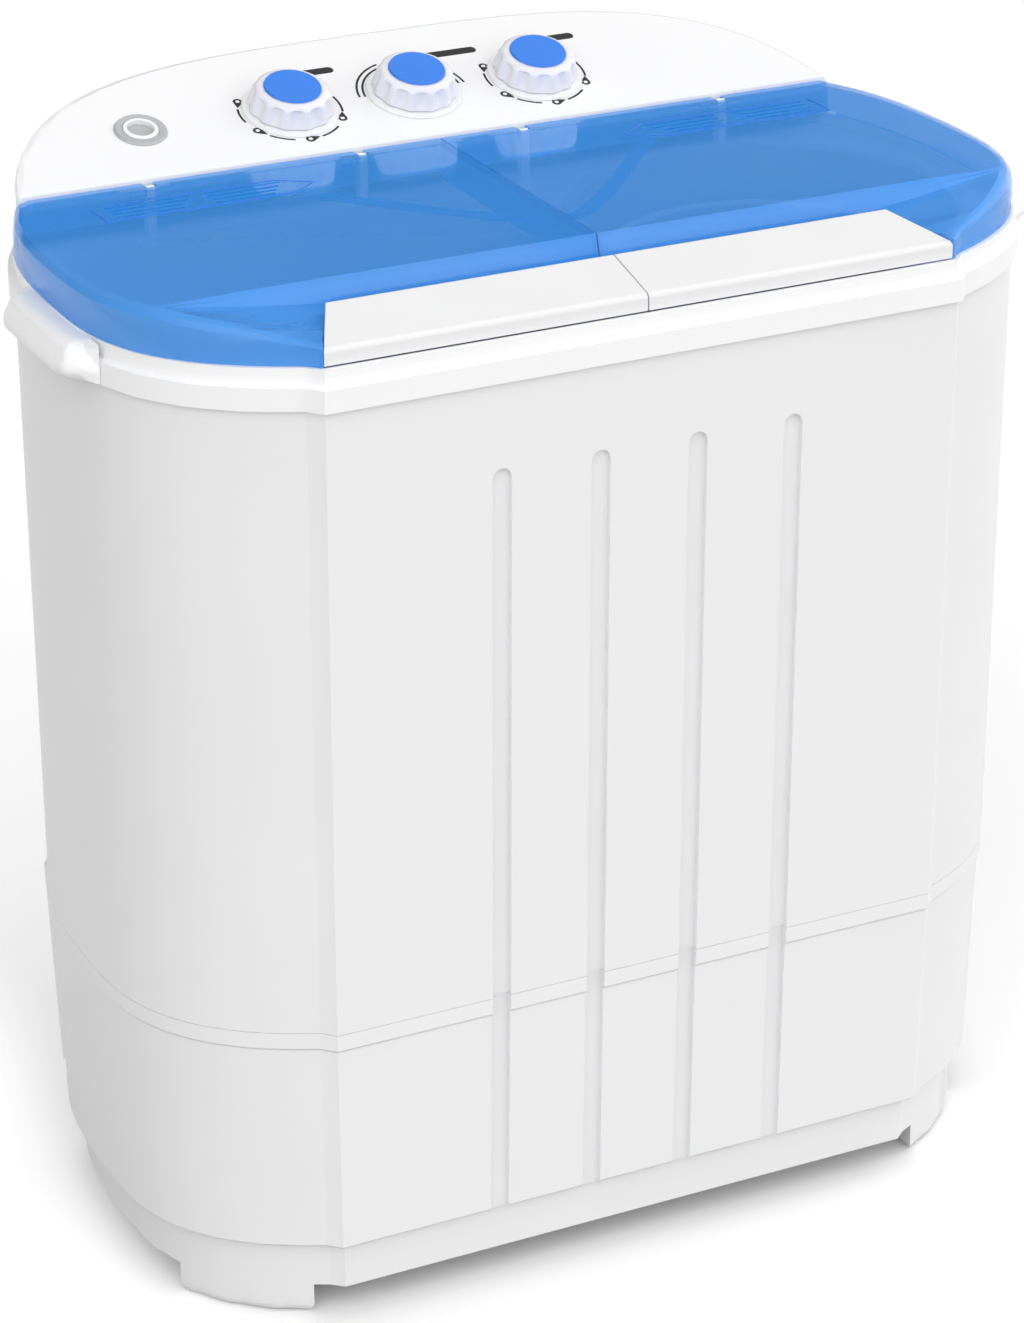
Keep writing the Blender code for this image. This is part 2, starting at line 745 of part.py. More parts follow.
def lid_rows(inset, back):
    """Half-width and depth of rows across a lid, from its front edge to its back edge."""
    flat = PANEL_HALF_WIDTH - LID_INSET[0] / 2
    curve = arc_points(inset, start_x=flat + PANEL_STEP, end_y=back, steps=LID_ROWS)
    front = front_y(inset)
    start_x, start_y = curve[0]
    step = [(flat + (start_x - flat) * k, front + (start_y - front) * k) for k in LID_FILLET_SHARES[:-1]]
    ramp = (LID_RIDGE_Y - SCOOP_RISE, LID_RIDGE_Y - SCOOP_RISE / 2, LID_RIDGE_Y)
    ridge = [(edge_x(y, inset), y) for y in ramp]
    return sorted(step + curve + ridge, key=lambda row: row[1])


def lid_grid(side, wall):
    """Points over a lid's top, or with a wall over its underside, row by row."""
    split = LID_SPLIT / 2 + wall
    rows = []
    for edge, y in lid_rows(squeeze(LID_INSET, wall), LID_BACK - wall):
        span = edge - LID_FILLET - split
        across = [edge - LID_FILLET * k for k in LID_FILLET_SHARES]
        across += [split + span * (1 - (k + 1) / LID_COLUMNS) for k in range(LID_COLUMNS)]
        rows.append([(side * x, y, lid_height(x, y, edge + wall) - wall) for x in across])
    return rows


def rim_of(grid):
    """The border of a grid of points, once round."""
    left = [row[0] for row in grid]
    right = [row[-1] for row in grid]
    return grid[0] + right[1:] + grid[-1][-2::-1] + left[-2:0:-1]


def shell(top, underside, bottom):
    """A hollow cover from two grids of points, open below, with its walls down to one height."""
    bm = bmesh.new()
    skins = [[[bm.verts.new(p) for p in row] for row in grid] for grid in (top, underside)]
    feet = [[bm.verts.new((x, y, bottom)) for x, y, z in rim_of(grid)] for grid in (top, underside)]
    for skin in skins:
        for low, high in zip(skin, skin[1:]):
            for i in range(len(low) - 1):
                bm.faces.new((low[i], low[i + 1], high[i + 1], high[i]))
    loops = [rim_of(skins[0]), feet[0], feet[1], rim_of(skins[1])]
    for first, second in zip(loops, loops[1:]):
        for i in range(len(first)):
            j = (i + 1) % len(first)
            bm.faces.new((first[i], first[j], second[j], second[i]))
    return bm


def grip_end(y):
    """Half-width of a grip at a depth: its outer end slants."""
    share = (y - front_y(LID_INSET)) / (GRIP_BACK_Y - front_y(LID_INSET))
    return GRIP_HALF_FRONT + share * (GRIP_HALF_BACK - GRIP_HALF_FRONT)


def grip_block(side, section, grow, split):
    """A section in depth and height swept from near the split to the grip's slanted end."""
    rings = [
        [(side * split, y, z) for y, z in section],
        [(side * (grip_end(y) + grow), y, z) for y, z in section],
    ]
    return loft(rings)


def grip_section(grow, high):
    """Room for a grip: the bed on the lid's front and the lip that hangs over its edge."""
    ahead = front_y(LID_INSET) - CUT_OVER
    lip = front_y(LID_INSET) + GRIP_LIP + grow
    back = GRIP_BACK_Y + grow
    low = RIM_TOP - CUT_OVER
    bed = GRIP_BED - grow
    return [(ahead, low), (lip, low), (lip, bed), (back, bed), (back, high), (ahead, high)]


def grip_top(y):
    share = (y - front_y(LID_INSET)) / (GRIP_BACK_Y - front_y(LID_INSET))
    return GRIP_FRONT_TOP + share * (GRIP_BACK_TOP - GRIP_FRONT_TOP)


def vents(side):
    """Steam slots near a lid's back in two groups, their inner ends stepped to a slant."""
    bm = bmesh.new()
    for k in range(VENT_COUNT):
        y = VENT_Y + (k - (VENT_COUNT - 1) / 2) * VENT_PITCH
        for outer, inner in VENT_SPANS:
            inner = inner + VENT_LEAN * (VENT_COUNT - 1 - k)
            middle = (side * (outer + inner) / 2, y)
            slot = rounded_box(middle, ((outer - inner) / 2, VENT_SLOT / 2), VENT_SLOT / 3, 1)
            join(bm, prism(slot, RIM_TOP + LID_WALL, LID_RIDGE_TOP + CUT_OVER, upright))
    return bm


def make_lid(name, side, material):
    """One clear lid: a crowned cover with a finger recess, a bed for the grip, vents and hinge barrels."""
    bottom = RIM_TOP + GAP
    piece = mesh_object(name, shell(lid_grid(side, 0), lid_grid(side, LID_WALL), bottom), material)
    lip = front_y(LID_INSET) + GRIP_LIP
    bed = GRIP_BED - GAP
    wall = LID_WALL
    back = GRIP_BACK_Y + GAP + wall
    floor = [(lip, bottom), (lip + GAP + wall, bottom), (lip + GAP + wall, bed - wall)]
    floor += [(back, bed - wall), (back, bed + 1.5 * wall), (lip, bed + 1.5 * wall)]
    add(piece, grip_block(side, floor, wall, LID_SPLIT / 2 + wall / 2))
    room = grip_section(GAP, LID_RIDGE_TOP + CUT_OVER)
    cut(piece, grip_block(side, room, GAP, -CUT_OVER))
    cut(piece, vents(side))
    heel = (-HALF_WIDTH, HINGE_Y - LID_HEEL, RIM_TOP - CUT_OVER)
    cut(piece, box(heel, (HALF_WIDTH, LID_BACK + CUT_OVER, bottom + LID_HEEL)))
    middle = (HINGE_Y, HINGE_Z)
    for x in HINGE_X:
        x *= side
        half = HINGE_BARREL / 2
        add(piece, prism(circle(HINGE_BARREL_R, middle, 14), x - half, x + half, along_x))
        slot = HINGE_POST / 2 + RUNNING_GAP
        clear = HINGE_BARREL_R + RUNNING_GAP
        low = (x - slot, HINGE_Y - clear, RIM_TOP - CUT_OVER)
        high = (x + slot, LID_BACK + CUT_OVER, LID_RIDGE_TOP + CUT_OVER)
        cut(piece, box(low, high))
        pin = circle(HINGE_PIN_R + GAP, middle, 10)
        cut(piece, prism(pin, x - half - CUT_OVER / 10, x + half + CUT_OVER / 10, along_x))
    return piece


def make_grip(name, side, material):
    """White handle strip along a lid's front, with softened edges and a lip that hangs over the front."""
    front = front_y(LID_INSET)
    soft = GRIP_SOFT
    low = RIM_TOP + 2 * GAP
    section = [
        (front, low),
        (front, grip_top(front) - soft),
        (front + 0.3 * soft, grip_top(front) - 0.3 * soft),
        (front + soft, grip_top(front + soft)),
        (GRIP_BACK_Y - soft, grip_top(GRIP_BACK_Y - soft)),
        (GRIP_BACK_Y - 0.3 * soft, grip_top(GRIP_BACK_Y) - 0.3 * soft),
        (GRIP_BACK_Y, grip_top(GRIP_BACK_Y) - soft),
        (GRIP_BACK_Y, GRIP_BED),
        (front + GRIP_LIP, GRIP_BED),
        (front + GRIP_LIP, low),
    ]
    return mesh_object(name, grip_block(side, section, 0.0, LID_SPLIT / 2), material)


def place_origin(piece, point):
    """Puts a moving piece's origin on its joint's axis without moving its shape."""
    piece.data.transform(Matrix.Translation(-Vector(point)))
    piece.location = point


def make_hinge_pins(material):
    for k, x in enumerate(sorted(hinge_places())):
        half = HINGE_BARREL / 2 - RUNNING_GAP
        pin = prism(circle(HINGE_PIN_R, (HINGE_Y, HINGE_Z), 10), x - half, x + half, along_x)
        mesh_object("hinge_pin_%d" % (k + 1), pin, material)


def make_wash_tub(material):
    """Tapered bucket with round corners, hung by its flange on the deck."""
    seat = DECK_TOP + GAP
    shapes = [
        (WASH_BOTTOM_HALF, WASH_BOTTOM_CORNER, TUB_WALL, WASH_FLOOR - TUB_WALL),
        (WASH_TOP_HALF, WASH_TOP_CORNER, TUB_WALL, seat),
        (WASH_TOP_HALF, WASH_TOP_CORNER, TUB_WALL + TUB_FLANGE, seat),
        (WASH_TOP_HALF, WASH_TOP_CORNER, TUB_WALL + TUB_FLANGE, seat + TUB_FLANGE_THICK),
        (WASH_TOP_HALF, WASH_TOP_CORNER, 0.0, seat + TUB_FLANGE_THICK),
        (WASH_BOTTOM_HALF, WASH_BOTTOM_CORNER, 0.0, WASH_FLOOR),
    ]
    rings = []
    for half, corner, more, z in shapes:
        rings.append([(x, y, z) for x, y in tub_mouth(more, (WASH_X, WASH_Y), half, corner)])
    piece = mesh_object("wash_tub", loft(rings), material)
    for hole in (circle(BEARING_R + GAP, (WASH_X, WASH_Y), 20), circle(DRAIN_R, (VALVE_X, DRAIN_Y), 14)):
        cut(piece, prism(hole, WASH_FLOOR - CUT_OVER, WASH_FLOOR + CUT_OVER, upright))
    return piece


def make_spin_tub(material):
    seat = DECK_TOP + GAP
    profile = [
        (SEAL_R + GAP, SPIN_FLOOR - TUB_WALL),
        (SPIN_TUB_FLOOR_R + TUB_WALL, SPIN_FLOOR - TUB_WALL),
        (SPIN_TUB_R + TUB_WALL, seat),
        (SPIN_TUB_R + TUB_WALL + TUB_FLANGE, seat),
        (SPIN_TUB_R + TUB_WALL + TUB_FLANGE, seat + TUB_FLANGE_THICK),
        (SPIN_TUB_R, seat + TUB_FLANGE_THICK),
        (SPIN_TUB_FLOOR_R, SPIN_FLOOR),
        (SEAL_R + GAP, SPIN_FLOOR),
    ]
    return turned("spin_tub", profile, (SPIN_X, SPIN_Y), 24, material)


def make_basket(plastic):
    """Spin basket: a tapered drum with a rolled rim and a raised hub on the shaft."""
    wall = BASKET_WALL
    bore = SHAFT_R + GAP
    hub_top = BASKET_FLOOR + HUB_HEIGHT
    roll = BASKET_ROLL
    profile = [
        (bore, BASKET_FLOOR - 2 * wall),
        (BASKET_FLOOR_R, BASKET_FLOOR - 2 * wall),
        (BASKET_R, BASKET_TOP - 3 * roll),
        (BASKET_R + roll, BASKET_TOP - 2 * roll),
        (BASKET_R + 0.7 * roll, BASKET_TOP),
        (BASKET_R - 1.3 * roll, BASKET_TOP - 0.3 * roll),
        (BASKET_R - wall, BASKET_TOP - 4 * roll),
        (BASKET_FLOOR_R - wall, BASKET_FLOOR),
        (2 * HUB_R, BASKET_FLOOR),
        (HUB_R, hub_top - HUB_R / 4),
        (0.8 * HUB_R, hub_top),
        (bore, hub_top),
    ]
    turned("spin_basket", profile, (SPIN_X, SPIN_Y), 22, plastic)


def make_spin_drive(steel, rubber, iron):
    """Spin motor on its mounts, the shaft with the brake drum, and the tub's bellows seal."""
    at = (SPIN_X, SPIN_Y)
    foot_z = SPIN_MOTOR_TOP + GAP
    tip = BASKET_FLOOR + HUB_HEIGHT - BASKET_WALL
    shaft = [(0, foot_z), (SHAFT_R, foot_z), (SHAFT_R, tip), (0, tip)]
    turned("spin_shaft", shaft, at, 14, steel)
    bore = SHAFT_R + GAP
    low = BRAKE_DRUM_Z - BRAKE_DRUM_WIDTH / 2
    top = BRAKE_DRUM_Z + BRAKE_DRUM_WIDTH / 2
    wall = BRAKE_DRUM_WALL
    hub = 3 * wall
    drum = [(bore, low), (BRAKE_DRUM_R, low), (BRAKE_DRUM_R, top), (BRAKE_DRUM_R - wall, top)]
    drum += [(BRAKE_DRUM_R - wall, low + wall), (hub, low + wall), (hub, top), (bore, top)]
    turned("brake_drum", drum, at, 14, iron)
    make_seal(at, rubber)
    low = SPIN_MOTOR_BOTTOM
    skirt = SPRING_RING + SPRING_R
    ledge = SPIN_MOTOR_BOSS
    motor = [
        (0, low),
        (skirt, low),
        (skirt, low + ledge / 2),
        (SPIN_MOTOR_R - ledge / 2, low + ledge),
        (SPIN_MOTOR_R, low + 1.5 * ledge),
        (SPIN_MOTOR_R, SPIN_MOTOR_TOP - 2 * ledge),
        (SPIN_MOTOR_R - ledge, SPIN_MOTOR_TOP - 1.2 * ledge),
        (1.8 * ledge, SPIN_MOTOR_TOP - ledge),
        (1.6 * ledge, SPIN_MOTOR_TOP),
        (0, SPIN_MOTOR_TOP),
    ]
    turned("spin_motor", motor, at, 16, steel)
    for k in range(SPRING_COUNT):
        angle = math.pi / 2 + 2 * math.pi * k / SPRING_COUNT
        spot = (SPIN_X + SPRING_RING * math.cos(angle), SPIN_Y + SPRING_RING * math.sin(angle))
        make_mount("spin_mount_%d" % (k + 1), spot, rubber)


def make_mount(name, spot, rubber):
    """Ribbed rubber boot over one of the spin motor's springs."""
    floor = FLOOR_TOP + GAP
    top = SPIN_MOTOR_BOTTOM - GAP
    neck = SPRING_R * 0.7
    pitch = (top - floor) / SPRING_RIBS
    boot = [(0, floor), (SPRING_R, floor)]
    for k in range(SPRING_RIBS):
        middle = floor + (k + 0.5) * pitch
        boot += [(neck, middle - pitch / 5), (SPRING_R, middle + pitch / 5)]
    boot += [(neck, top), (0, top)]
    turned(name, boot, spot, 8, rubber)


def make_seal(at, rubber):
    """Bellows seal that keeps water off the spin motor: a flange under the tub and a lip round the shaft."""
    top = SPIN_FLOOR - TUB_WALL - GAP
    bore = SHAFT_R + RUNNING_GAP
    fold = SEAL_HEIGHT / 5
    waist = 0.65 * SEAL_R
    profile = [
        (bore, top - SEAL_HEIGHT),
        (waist, top - SEAL_HEIGHT),
        (0.85 * SEAL_R, top - 4 * fold),
        (waist, top - 3 * fold),
        (0.9 * SEAL_R, top - 2 * fold),
        (0.75 * SEAL_R, top - fold),
        (SEAL_R + fold, top - fold / 2),
        (SEAL_R + fold, top),
        (SEAL_R, top),
        (SEAL_R, SPIN_FLOOR + fold / 2),
        (waist, SPIN_FLOOR + 1.5 * fold),
        (bore, SPIN_FLOOR + 1.5 * fold),
    ]
    turned("spin_seal", profile, at, 10, rubber)


def make_brake_lever(steel, lining):
    """Arm that swings a lined shoe on to the drum, turning on a post that stands on the base's floor."""
    reach = BRAKE_DRUM_R + BRAKE_REST_GAP
    thick = BRAKE_ARM_THICK
    low = BRAKE_DRUM_Z - thick / 2
    high = BRAKE_DRUM_Z + thick / 2
    pivot = (SPIN_X + reach + 0.9 * thick, BRAKE_PIVOT_Y)
    inner = SPIN_X + reach
    arm = [
        (inner, SPIN_Y - BRAKE_SHOE / 2),
        (inner, SPIN_Y + BRAKE_SHOE / 2),
        (inner + thick / 2, SPIN_Y + BRAKE_SHOE / 2),
        (pivot[0] + thick / 2, SPIN_Y),
        (pivot[0] + thick / 2, BRAKE_PIVOT_Y),
        (pivot[0] - thick / 2, BRAKE_PIVOT_Y),
    ]
    lever = mesh_object("brake_lever", prism(arm, low, high, upright), steel)
    add(lever, prism(circle(2 * BRAKE_POST_R, pivot, 12), low, high, upright))
    cut(lever, prism(circle(BRAKE_POST_R + GAP, pivot, 12), low - CUT_OVER, high + CUT_OVER, upright))
    place_origin(lever, (*pivot, BRAKE_DRUM_Z))
    floor = FLOOR_TOP + GAP
    stem = 1.5 * BRAKE_POST_R
    post = [
        (0, floor),
        (2 * stem, floor),
        (2 * stem, floor + stem),
        (stem, floor + 2 * stem),
        (stem, low - GAP),
        (BRAKE_POST_R, low - GAP),
        (BRAKE_POST_R, high + BRAKE_POST_R),
        (0, high + BRAKE_POST_R),
    ]
    turned("brake_post", post, pivot, 10, lining)


def pulley(radius, width, z, bore):
    """Profile of a turned pulley with a flat-bottomed belt groove."""
    low = z - width / 2
    high = z + width / 2
    groove = BELT_WIDTH / 2 + 2 * GAP
    edge = radius + BELT_THICK
    return [
        (bore, low),
        (edge, low),
        (edge, z - groove),
        (radius, z - groove),
        (radius, z + groove),
        (edge, z + groove),
        (edge, high),
        (bore, high),
    ]


def pulsator_rib(at, angle, crown):
    """A swept rib from the pulsator's crown out to its rim."""
    stations = (
        (0.12 * PULSATOR_R, 0.07 * PULSATOR_R, crown - 0.12 * PULSATOR_CROWN),
        (0.54 * PULSATOR_R, 0.10 * PULSATOR_R, PULSATOR_Z + 0.83 * PULSATOR_CROWN),
        (0.95 * PULSATOR_R, 0.12 * PULSATOR_R, PULSATOR_Z + 1.4 * PULSATOR_RIM),
    )
    foot_z = PULSATOR_Z + PULSATOR_RIM / 3
    rings = []
    for radius, half, top in stations:
        sweep = angle + (radius / PULSATOR_R) ** 2 * PULSATOR_SWEEP
        out = Vector((math.cos(sweep), math.sin(sweep), 0))
        across = Vector((-out.y, out.x, 0))
        spot = Vector((*at, 0)) + out * radius
        section = [(-half, foot_z), (half, foot_z), (0.35 * half, top), (-0.35 * half, top)]
        rings.append([spot + across * u + Vector((0, 0, z)) for u, z in section])
    return loft(rings)


def make_pulsator(white, steel):
    """Dished pulsator with swept ribs, and the screw that holds it to the shaft."""
    at = (WASH_X, WASH_Y)
    bore = SHAFT_R + GAP
    crown = PULSATOR_Z + PULSATOR_CROWN
    soft = PULSATOR_RIM / 4
    dish = [
        (bore, PULSATOR_Z),
        (PULSATOR_R - soft, PULSATOR_Z),
        (PULSATOR_R, PULSATOR_Z + soft),
        (PULSATOR_R - soft / 2, PULSATOR_Z + PULSATOR_RIM),
        (PULSATOR_R * 0.72, PULSATOR_Z + 3 * soft),
        (PULSATOR_R * 0.40, PULSATOR_Z + 4.5 * soft),
        (PULSATOR_R * 0.21, crown - 3 * soft),
        (PULSATOR_R * 0.15, crown),
        (bore, crown),
    ]
    piece = turned("pulsator", dish, at, 18, white)
    for k in range(PULSATOR_RIBS):
        add(piece, pulsator_rib(at, 2 * math.pi * k / PULSATOR_RIBS, crown))
    cut(piece, prism(circle(bore, at, 14), PULSATOR_Z - CUT_OVER, crown + CUT_OVER, upright))
    low = crown - SCREW_SINK + GAP
    shank = SHAFT_R - 2 * GAP
    head = 1.8 * SHAFT_R
    screw = [
        (0, low),
        (shank, low),
        (shank, crown + GAP),
        (head, crown + GAP),
        (0.95 * head, crown + 0.6 * SCREW_SINK),
        (0.55 * head, crown + SCREW_SINK),
        (0, crown + SCREW_SINK),
    ]
    turned("pulsator_screw", screw, at, 12, steel)


def make_wash_drive(steel, black, bronze, dark):
    """The pulsator's shaft and bearing, the pulleys, belt and wash motor."""
    at = (WASH_X, WASH_Y)
    motor_at = (WASH_MOTOR_X, WASH_Y)
    low = PULLEY_Z - PULLEY_WIDTH / 2
    high = PULLEY_Z + PULLEY_WIDTH / 2
    foot_z = low - PULLEY_WIDTH / 5
    tip = PULSATOR_Z + PULSATOR_CROWN - SCREW_SINK
    shaft = [(0, foot_z), (SHAFT_R, foot_z), (SHAFT_R, tip), (0, tip)]
    turned("wash_shaft", shaft, at, 14, steel)
    profile = pulley(WASH_PULLEY_R, PULLEY_WIDTH, PULLEY_Z, SHAFT_R + GAP)
    turned("wash_pulley", profile, at, 16, black)
    under = WASH_FLOOR - TUB_WALL - GAP
    collar = BEARING_COLLAR
    turning = SHAFT_R + BEARING_GAP
    bearing = [
        (turning, high + RUNNING_GAP),
        (BEARING_R - collar / 2, high + RUNNING_GAP),
        (BEARING_R + 1.5 * collar, under - 1.5 * collar),
        (BEARING_R + 3.5 * collar, under - collar),
        (BEARING_R + 3.5 * collar, under),
        (BEARING_R, under),
        (BEARING_R, WASH_FLOOR + 0.8 * collar),
        (turning, WASH_FLOOR + 0.8 * collar),
    ]
    turned("wash_bearing", bearing, at, 10, bronze)
    floor = FLOOR_TOP + GAP
    ledge = WASH_MOTOR_BOSS
    top = WASH_MOTOR_TOP
    motor = [
        (0, floor),
        (WASH_MOTOR_R + ledge, floor),
        (WASH_MOTOR_R + ledge, floor + 0.6 * ledge),
        (WASH_MOTOR_R, floor + ledge),
        (WASH_MOTOR_R, top - 2 * ledge),
        (WASH_MOTOR_R - ledge, top - 1.1 * ledge),
        (2.2 * ledge, top - ledge),
        (1.9 * ledge, top),
        (0, top),
    ]
    turned("wash_motor", motor, motor_at, 16, steel)
    neck = 0.6 * MOTOR_PULLEY_R
    step = low - PULLEY_WIDTH / 7
    spindle = [(0, top + GAP), (SHAFT_R, top + GAP), (SHAFT_R, step), (neck, step), (neck, low)]
    spindle += pulley(MOTOR_PULLEY_R, PULLEY_WIDTH, PULLEY_Z, 0)[1:-1] + [(0, high)]
    turned("motor_pulley", spindle, motor_at, 12, dark)
    make_belt(at, motor_at, black)


def make_belt(big_at, small_at, material):
    """Flat loop round the two pulleys, held a hair off them."""
    rings = []
    span = small_at[0] - big_at[0]
    for lift in (BELT_RIDE, BELT_RIDE + BELT_THICK):
        big = WASH_PULLEY_R + lift
        small = MOTOR_PULLEY_R + lift
        lean = math.acos((big - small) / span)
        path = []
        for i in range(21):
            a = lean + (2 * math.pi - 2 * lean) * i / 20
            path.append((big_at[0] + big * math.cos(a), big_at[1] + big * math.sin(a)))
        for i in range(11):
            a = -lean + 2 * lean * i / 10
            path.append((small_at[0] + small * math.cos(a), small_at[1] + small * math.sin(a)))
        rings.append(path)
    half = BELT_WIDTH / 2
    faces = [(rings[0], -half), (rings[1], -half), (rings[1], half), (rings[0], half)]
    skin = [[(x, y, PULLEY_Z + z) for x, y in path] for path, z in faces]
    mesh_object("drive_belt", loft(skin, capped=False), material)


def knob_ring(radius, depth, height, steps=3):
    """Scalloped section of a knob: shallow hollows between rounded crests."""
    points = []
    count = KNOB_FLUTES * steps
    for i in range(count):
        angle = 2 * math.pi * i / count
        r = radius - depth * (0.5 - 0.5 * math.cos(KNOB_FLUTES * angle))
        points.append((r * math.cos(angle), r * math.sin(angle), height))
    return points


def seat_on_panel(piece, x):
    piece.location = (x, KNOB_Y, console_plane(KNOB_Y))
    piece.rotation_euler = (CONSOLE_TILT, 0, 0)


def make_knob(stem, x, white, blue, steel, dark):
    """A scalloped knob with its coloured cap and spindle, over a fixed base ring and switch body."""
    foot_z = KNOB_BASE_HEIGHT + 2 * GAP
    rings = [
        knob_ring(KNOB_R, KNOB_FLUTE_DEPTH, foot_z),
        knob_ring(KNOB_TOP_R, KNOB_FLUTE_DEPTH, KNOB_HEIGHT - KNOB_CHAMFER),
        knob_ring(CAP_R + CAP_THICK, 0.0, KNOB_HEIGHT),
    ]
    knob = mesh_object(stem + "_knob", loft(rings), white)
    socket_top = KNOB_HEIGHT - KNOB_ROOF
    socket = prism(circle(SPINDLE_R + GAP, segments=14), -CUT_OVER, socket_top, upright)
    bore = cutter(stem + "_bore", socket)
    seat_on_panel(bore, x)
    boolean(knob, bore)
    low = KNOB_HEIGHT + GAP
    cap = [(0, low), (CAP_R, low), (CAP_R - CAP_THICK / 2, low + CAP_THICK), (0, low + CAP_THICK)]
    under = -SHELL_WALL - GAP
    tip = socket_top - GAP
    spindle = [(0, under + GAP), (SPINDLE_R, under + GAP), (SPINDLE_R, tip), (0, tip)]
    inner = SPINDLE_R + RUNNING_GAP
    brim = GAP + KNOB_BASE_HEIGHT
    base = [(inner, GAP), (KNOB_BASE_R, GAP), (KNOB_BASE_R - KNOB_BASE_HEIGHT / 2, brim), (inner, brim)]
    body = rounded_box((0, 0), (TIMER_SIZE[0] / 2, TIMER_SIZE[1] / 2), TIMER_CORNER, 3)
    pieces = [
        knob,
        mesh_object(stem + "_cap", revolve(cap, 24), blue),
        mesh_object(stem + "_spindle", revolve(spindle, 10), steel),
        mesh_object(stem + "_base_ring", revolve(base, 24), white),
        mesh_object(stem + "_switch", prism(body, under - TIMER_SIZE[2], under, upright), dark),
    ]
    for piece in pieces:
        seat_on_panel(piece, x)


def make_inlet(grey, white):
    """Water inlet port: grey ring, white tube down through the panel and a filter disc inside it."""
    hole = INLET_TUBE_R + GAP
    brim = INLET_BRIM
    ring = [(hole, GAP), (INLET_RING_R, GAP), (INLET_RING_R - 0.7 * brim, brim), (hole, 0.8 * brim)]
    tube = [
        (INLET_BORE_R, -INLET_TUBE_DEPTH),
        (INLET_TUBE_R, -INLET_TUBE_DEPTH),
        (INLET_TUBE_R, 0.9 * brim),
        (INLET_TUBE_R - 0.3 * brim, 1.2 * brim),
        (INLET_BORE_R, 1.2 * brim),
    ]
    edge = INLET_BORE_R - GAP
    disc = [(0, -2 * brim), (edge, -2 * brim), (edge, -0.5 * brim), (0, -0.1 * brim)]
    pieces = (("inlet_ring", ring, grey), ("inlet_tube", tube, white), ("inlet_filter", disc, grey))
    for name, profile, material in pieces:
        piece = mesh_object(name, revolve(profile, 20), material)
        piece.location = (INLET_X, INLET_Y, console_plane(INLET_Y))
        piece.rotation_euler = (CONSOLE_TILT, 0, 0)


def make_drain(grey, rubber, steel):
    """Drain valve at the back: a cup fed by a duct from the tub floor, with a lifting plug on a rod."""
    at = (VALVE_X, VALVE_Y)
    under = WASH_FLOOR - TUB_WALL - GAP
    wall = VALVE_WALL
    drum = prism(circle(VALVE_R, at, 16), VALVE_BOTTOM, VALVE_TOP, upright)
    cup = mesh_object("drain_valve_body", drum, grey)
    duct_r = DRAIN_R + wall
    duct_z = (VALVE_BOTTOM + VALVE_TOP) / 2
    add(cup, prism(circle(duct_r, (VALVE_X, duct_z), 12), DRAIN_Y - duct_r, VALVE_Y, along_y))
    add(cup, prism(circle(duct_r, (VALVE_X, DRAIN_Y), 12), duct_z, under, upright))
    seat = VALVE_BOTTOM + wall
    cut(cup, prism(circle(VALVE_R - wall, at, 14), seat, VALVE_TOP - wall, upright))
    cut(cup, prism(circle(ROD_R + RUNNING_GAP, at, 10), VALVE_TOP - 2 * wall, VALVE_TOP + CUT_OVER, upright))
    cut(cup, prism(circle(DRAIN_R, (VALVE_X, duct_z), 12), DRAIN_Y - 0.7 * DRAIN_R, VALVE_Y, along_y))
    cut(cup, prism(circle(0.9 * DRAIN_R, (VALVE_X, DRAIN_Y), 12), duct_z, under + CUT_OVER, upright))
    cut(cup, prism(circle(OUTLET_R, at, 12), VALVE_BOTTOM - CUT_OVER, seat + wall, upright))
    low = seat + GAP
    top = low + PLUG_HEIGHT
    plug = [(0, low), (PLUG_R - wall / 2, low), (PLUG_R, low + PLUG_HEIGHT / 2), (OUTLET_R, top), (0, top)]
    turned("drain_plug", plug, at, 14, rubber)
    rod = [(0, top + GAP), (ROD_R, top + GAP), (ROD_R, ROD_TOP), (0, ROD_TOP)]
    turned("drain_rod", rod, at, 10, steel)


def cover_ring(proud, z):
    """Strip of the base's outline round the back, between the two front edges of the rear cover."""
    share = (z - SKIRT_BOTTOM) / (SEAM_HEIGHT - SKIRT_BOTTOM)
    inset = tuple(low + share * (high - low) - proud for low, high in zip(SKIRT_INSET, SEAM_INSET))
    outer = mirrored(arc_points(inset, start_y=COVER_FRONT_Y))
    inner_inset = squeeze(inset, proud - COVER_SEAT)
    inner = mirrored(arc_points(inner_inset, start_y=COVER_FRONT_Y - proud))
    return [(x, y, z) for x, y in outer + inner[::-1]]


def make_rear_cover(material):
    """Louvred cover wrapped round the lower back, proud of the base, with slanted ends."""
    proud = COVER_PROUD
    shell_rings = [cover_ring(proud, COVER_BOTTOM), cover_ring(proud, COVER_TOP)]
    piece = mesh_object("rear_cover", loft(shell_rings), material)
    slots = bmesh.new()
    back = OUTLINE_CENTRE_Y + BACK_REACH + CUT_OVER
    for side in (-1, 1):
        for k in range(COVER_SLOTS):
            z = (COVER_BOTTOM + COVER_TOP) / 2 + (k - (COVER_SLOTS - 1) / 2) * COVER_SLOT_PITCH
            half = (COVER_SLOT[0] / 2, COVER_SLOT[1] / 2)
            shape = rounded_box((side * COVER_SLOT_X, z), half, half[1] * 0.98, 1)
            join(slots, prism(shape, ACCESS_FROM_Y, back, along_y))
    join(slots, prism(circle(GLAND_R + GAP, (GLAND_X, GLAND_Z), 16), ACCESS_FROM_Y, back, along_y))
    cut(piece, slots)
    return piece


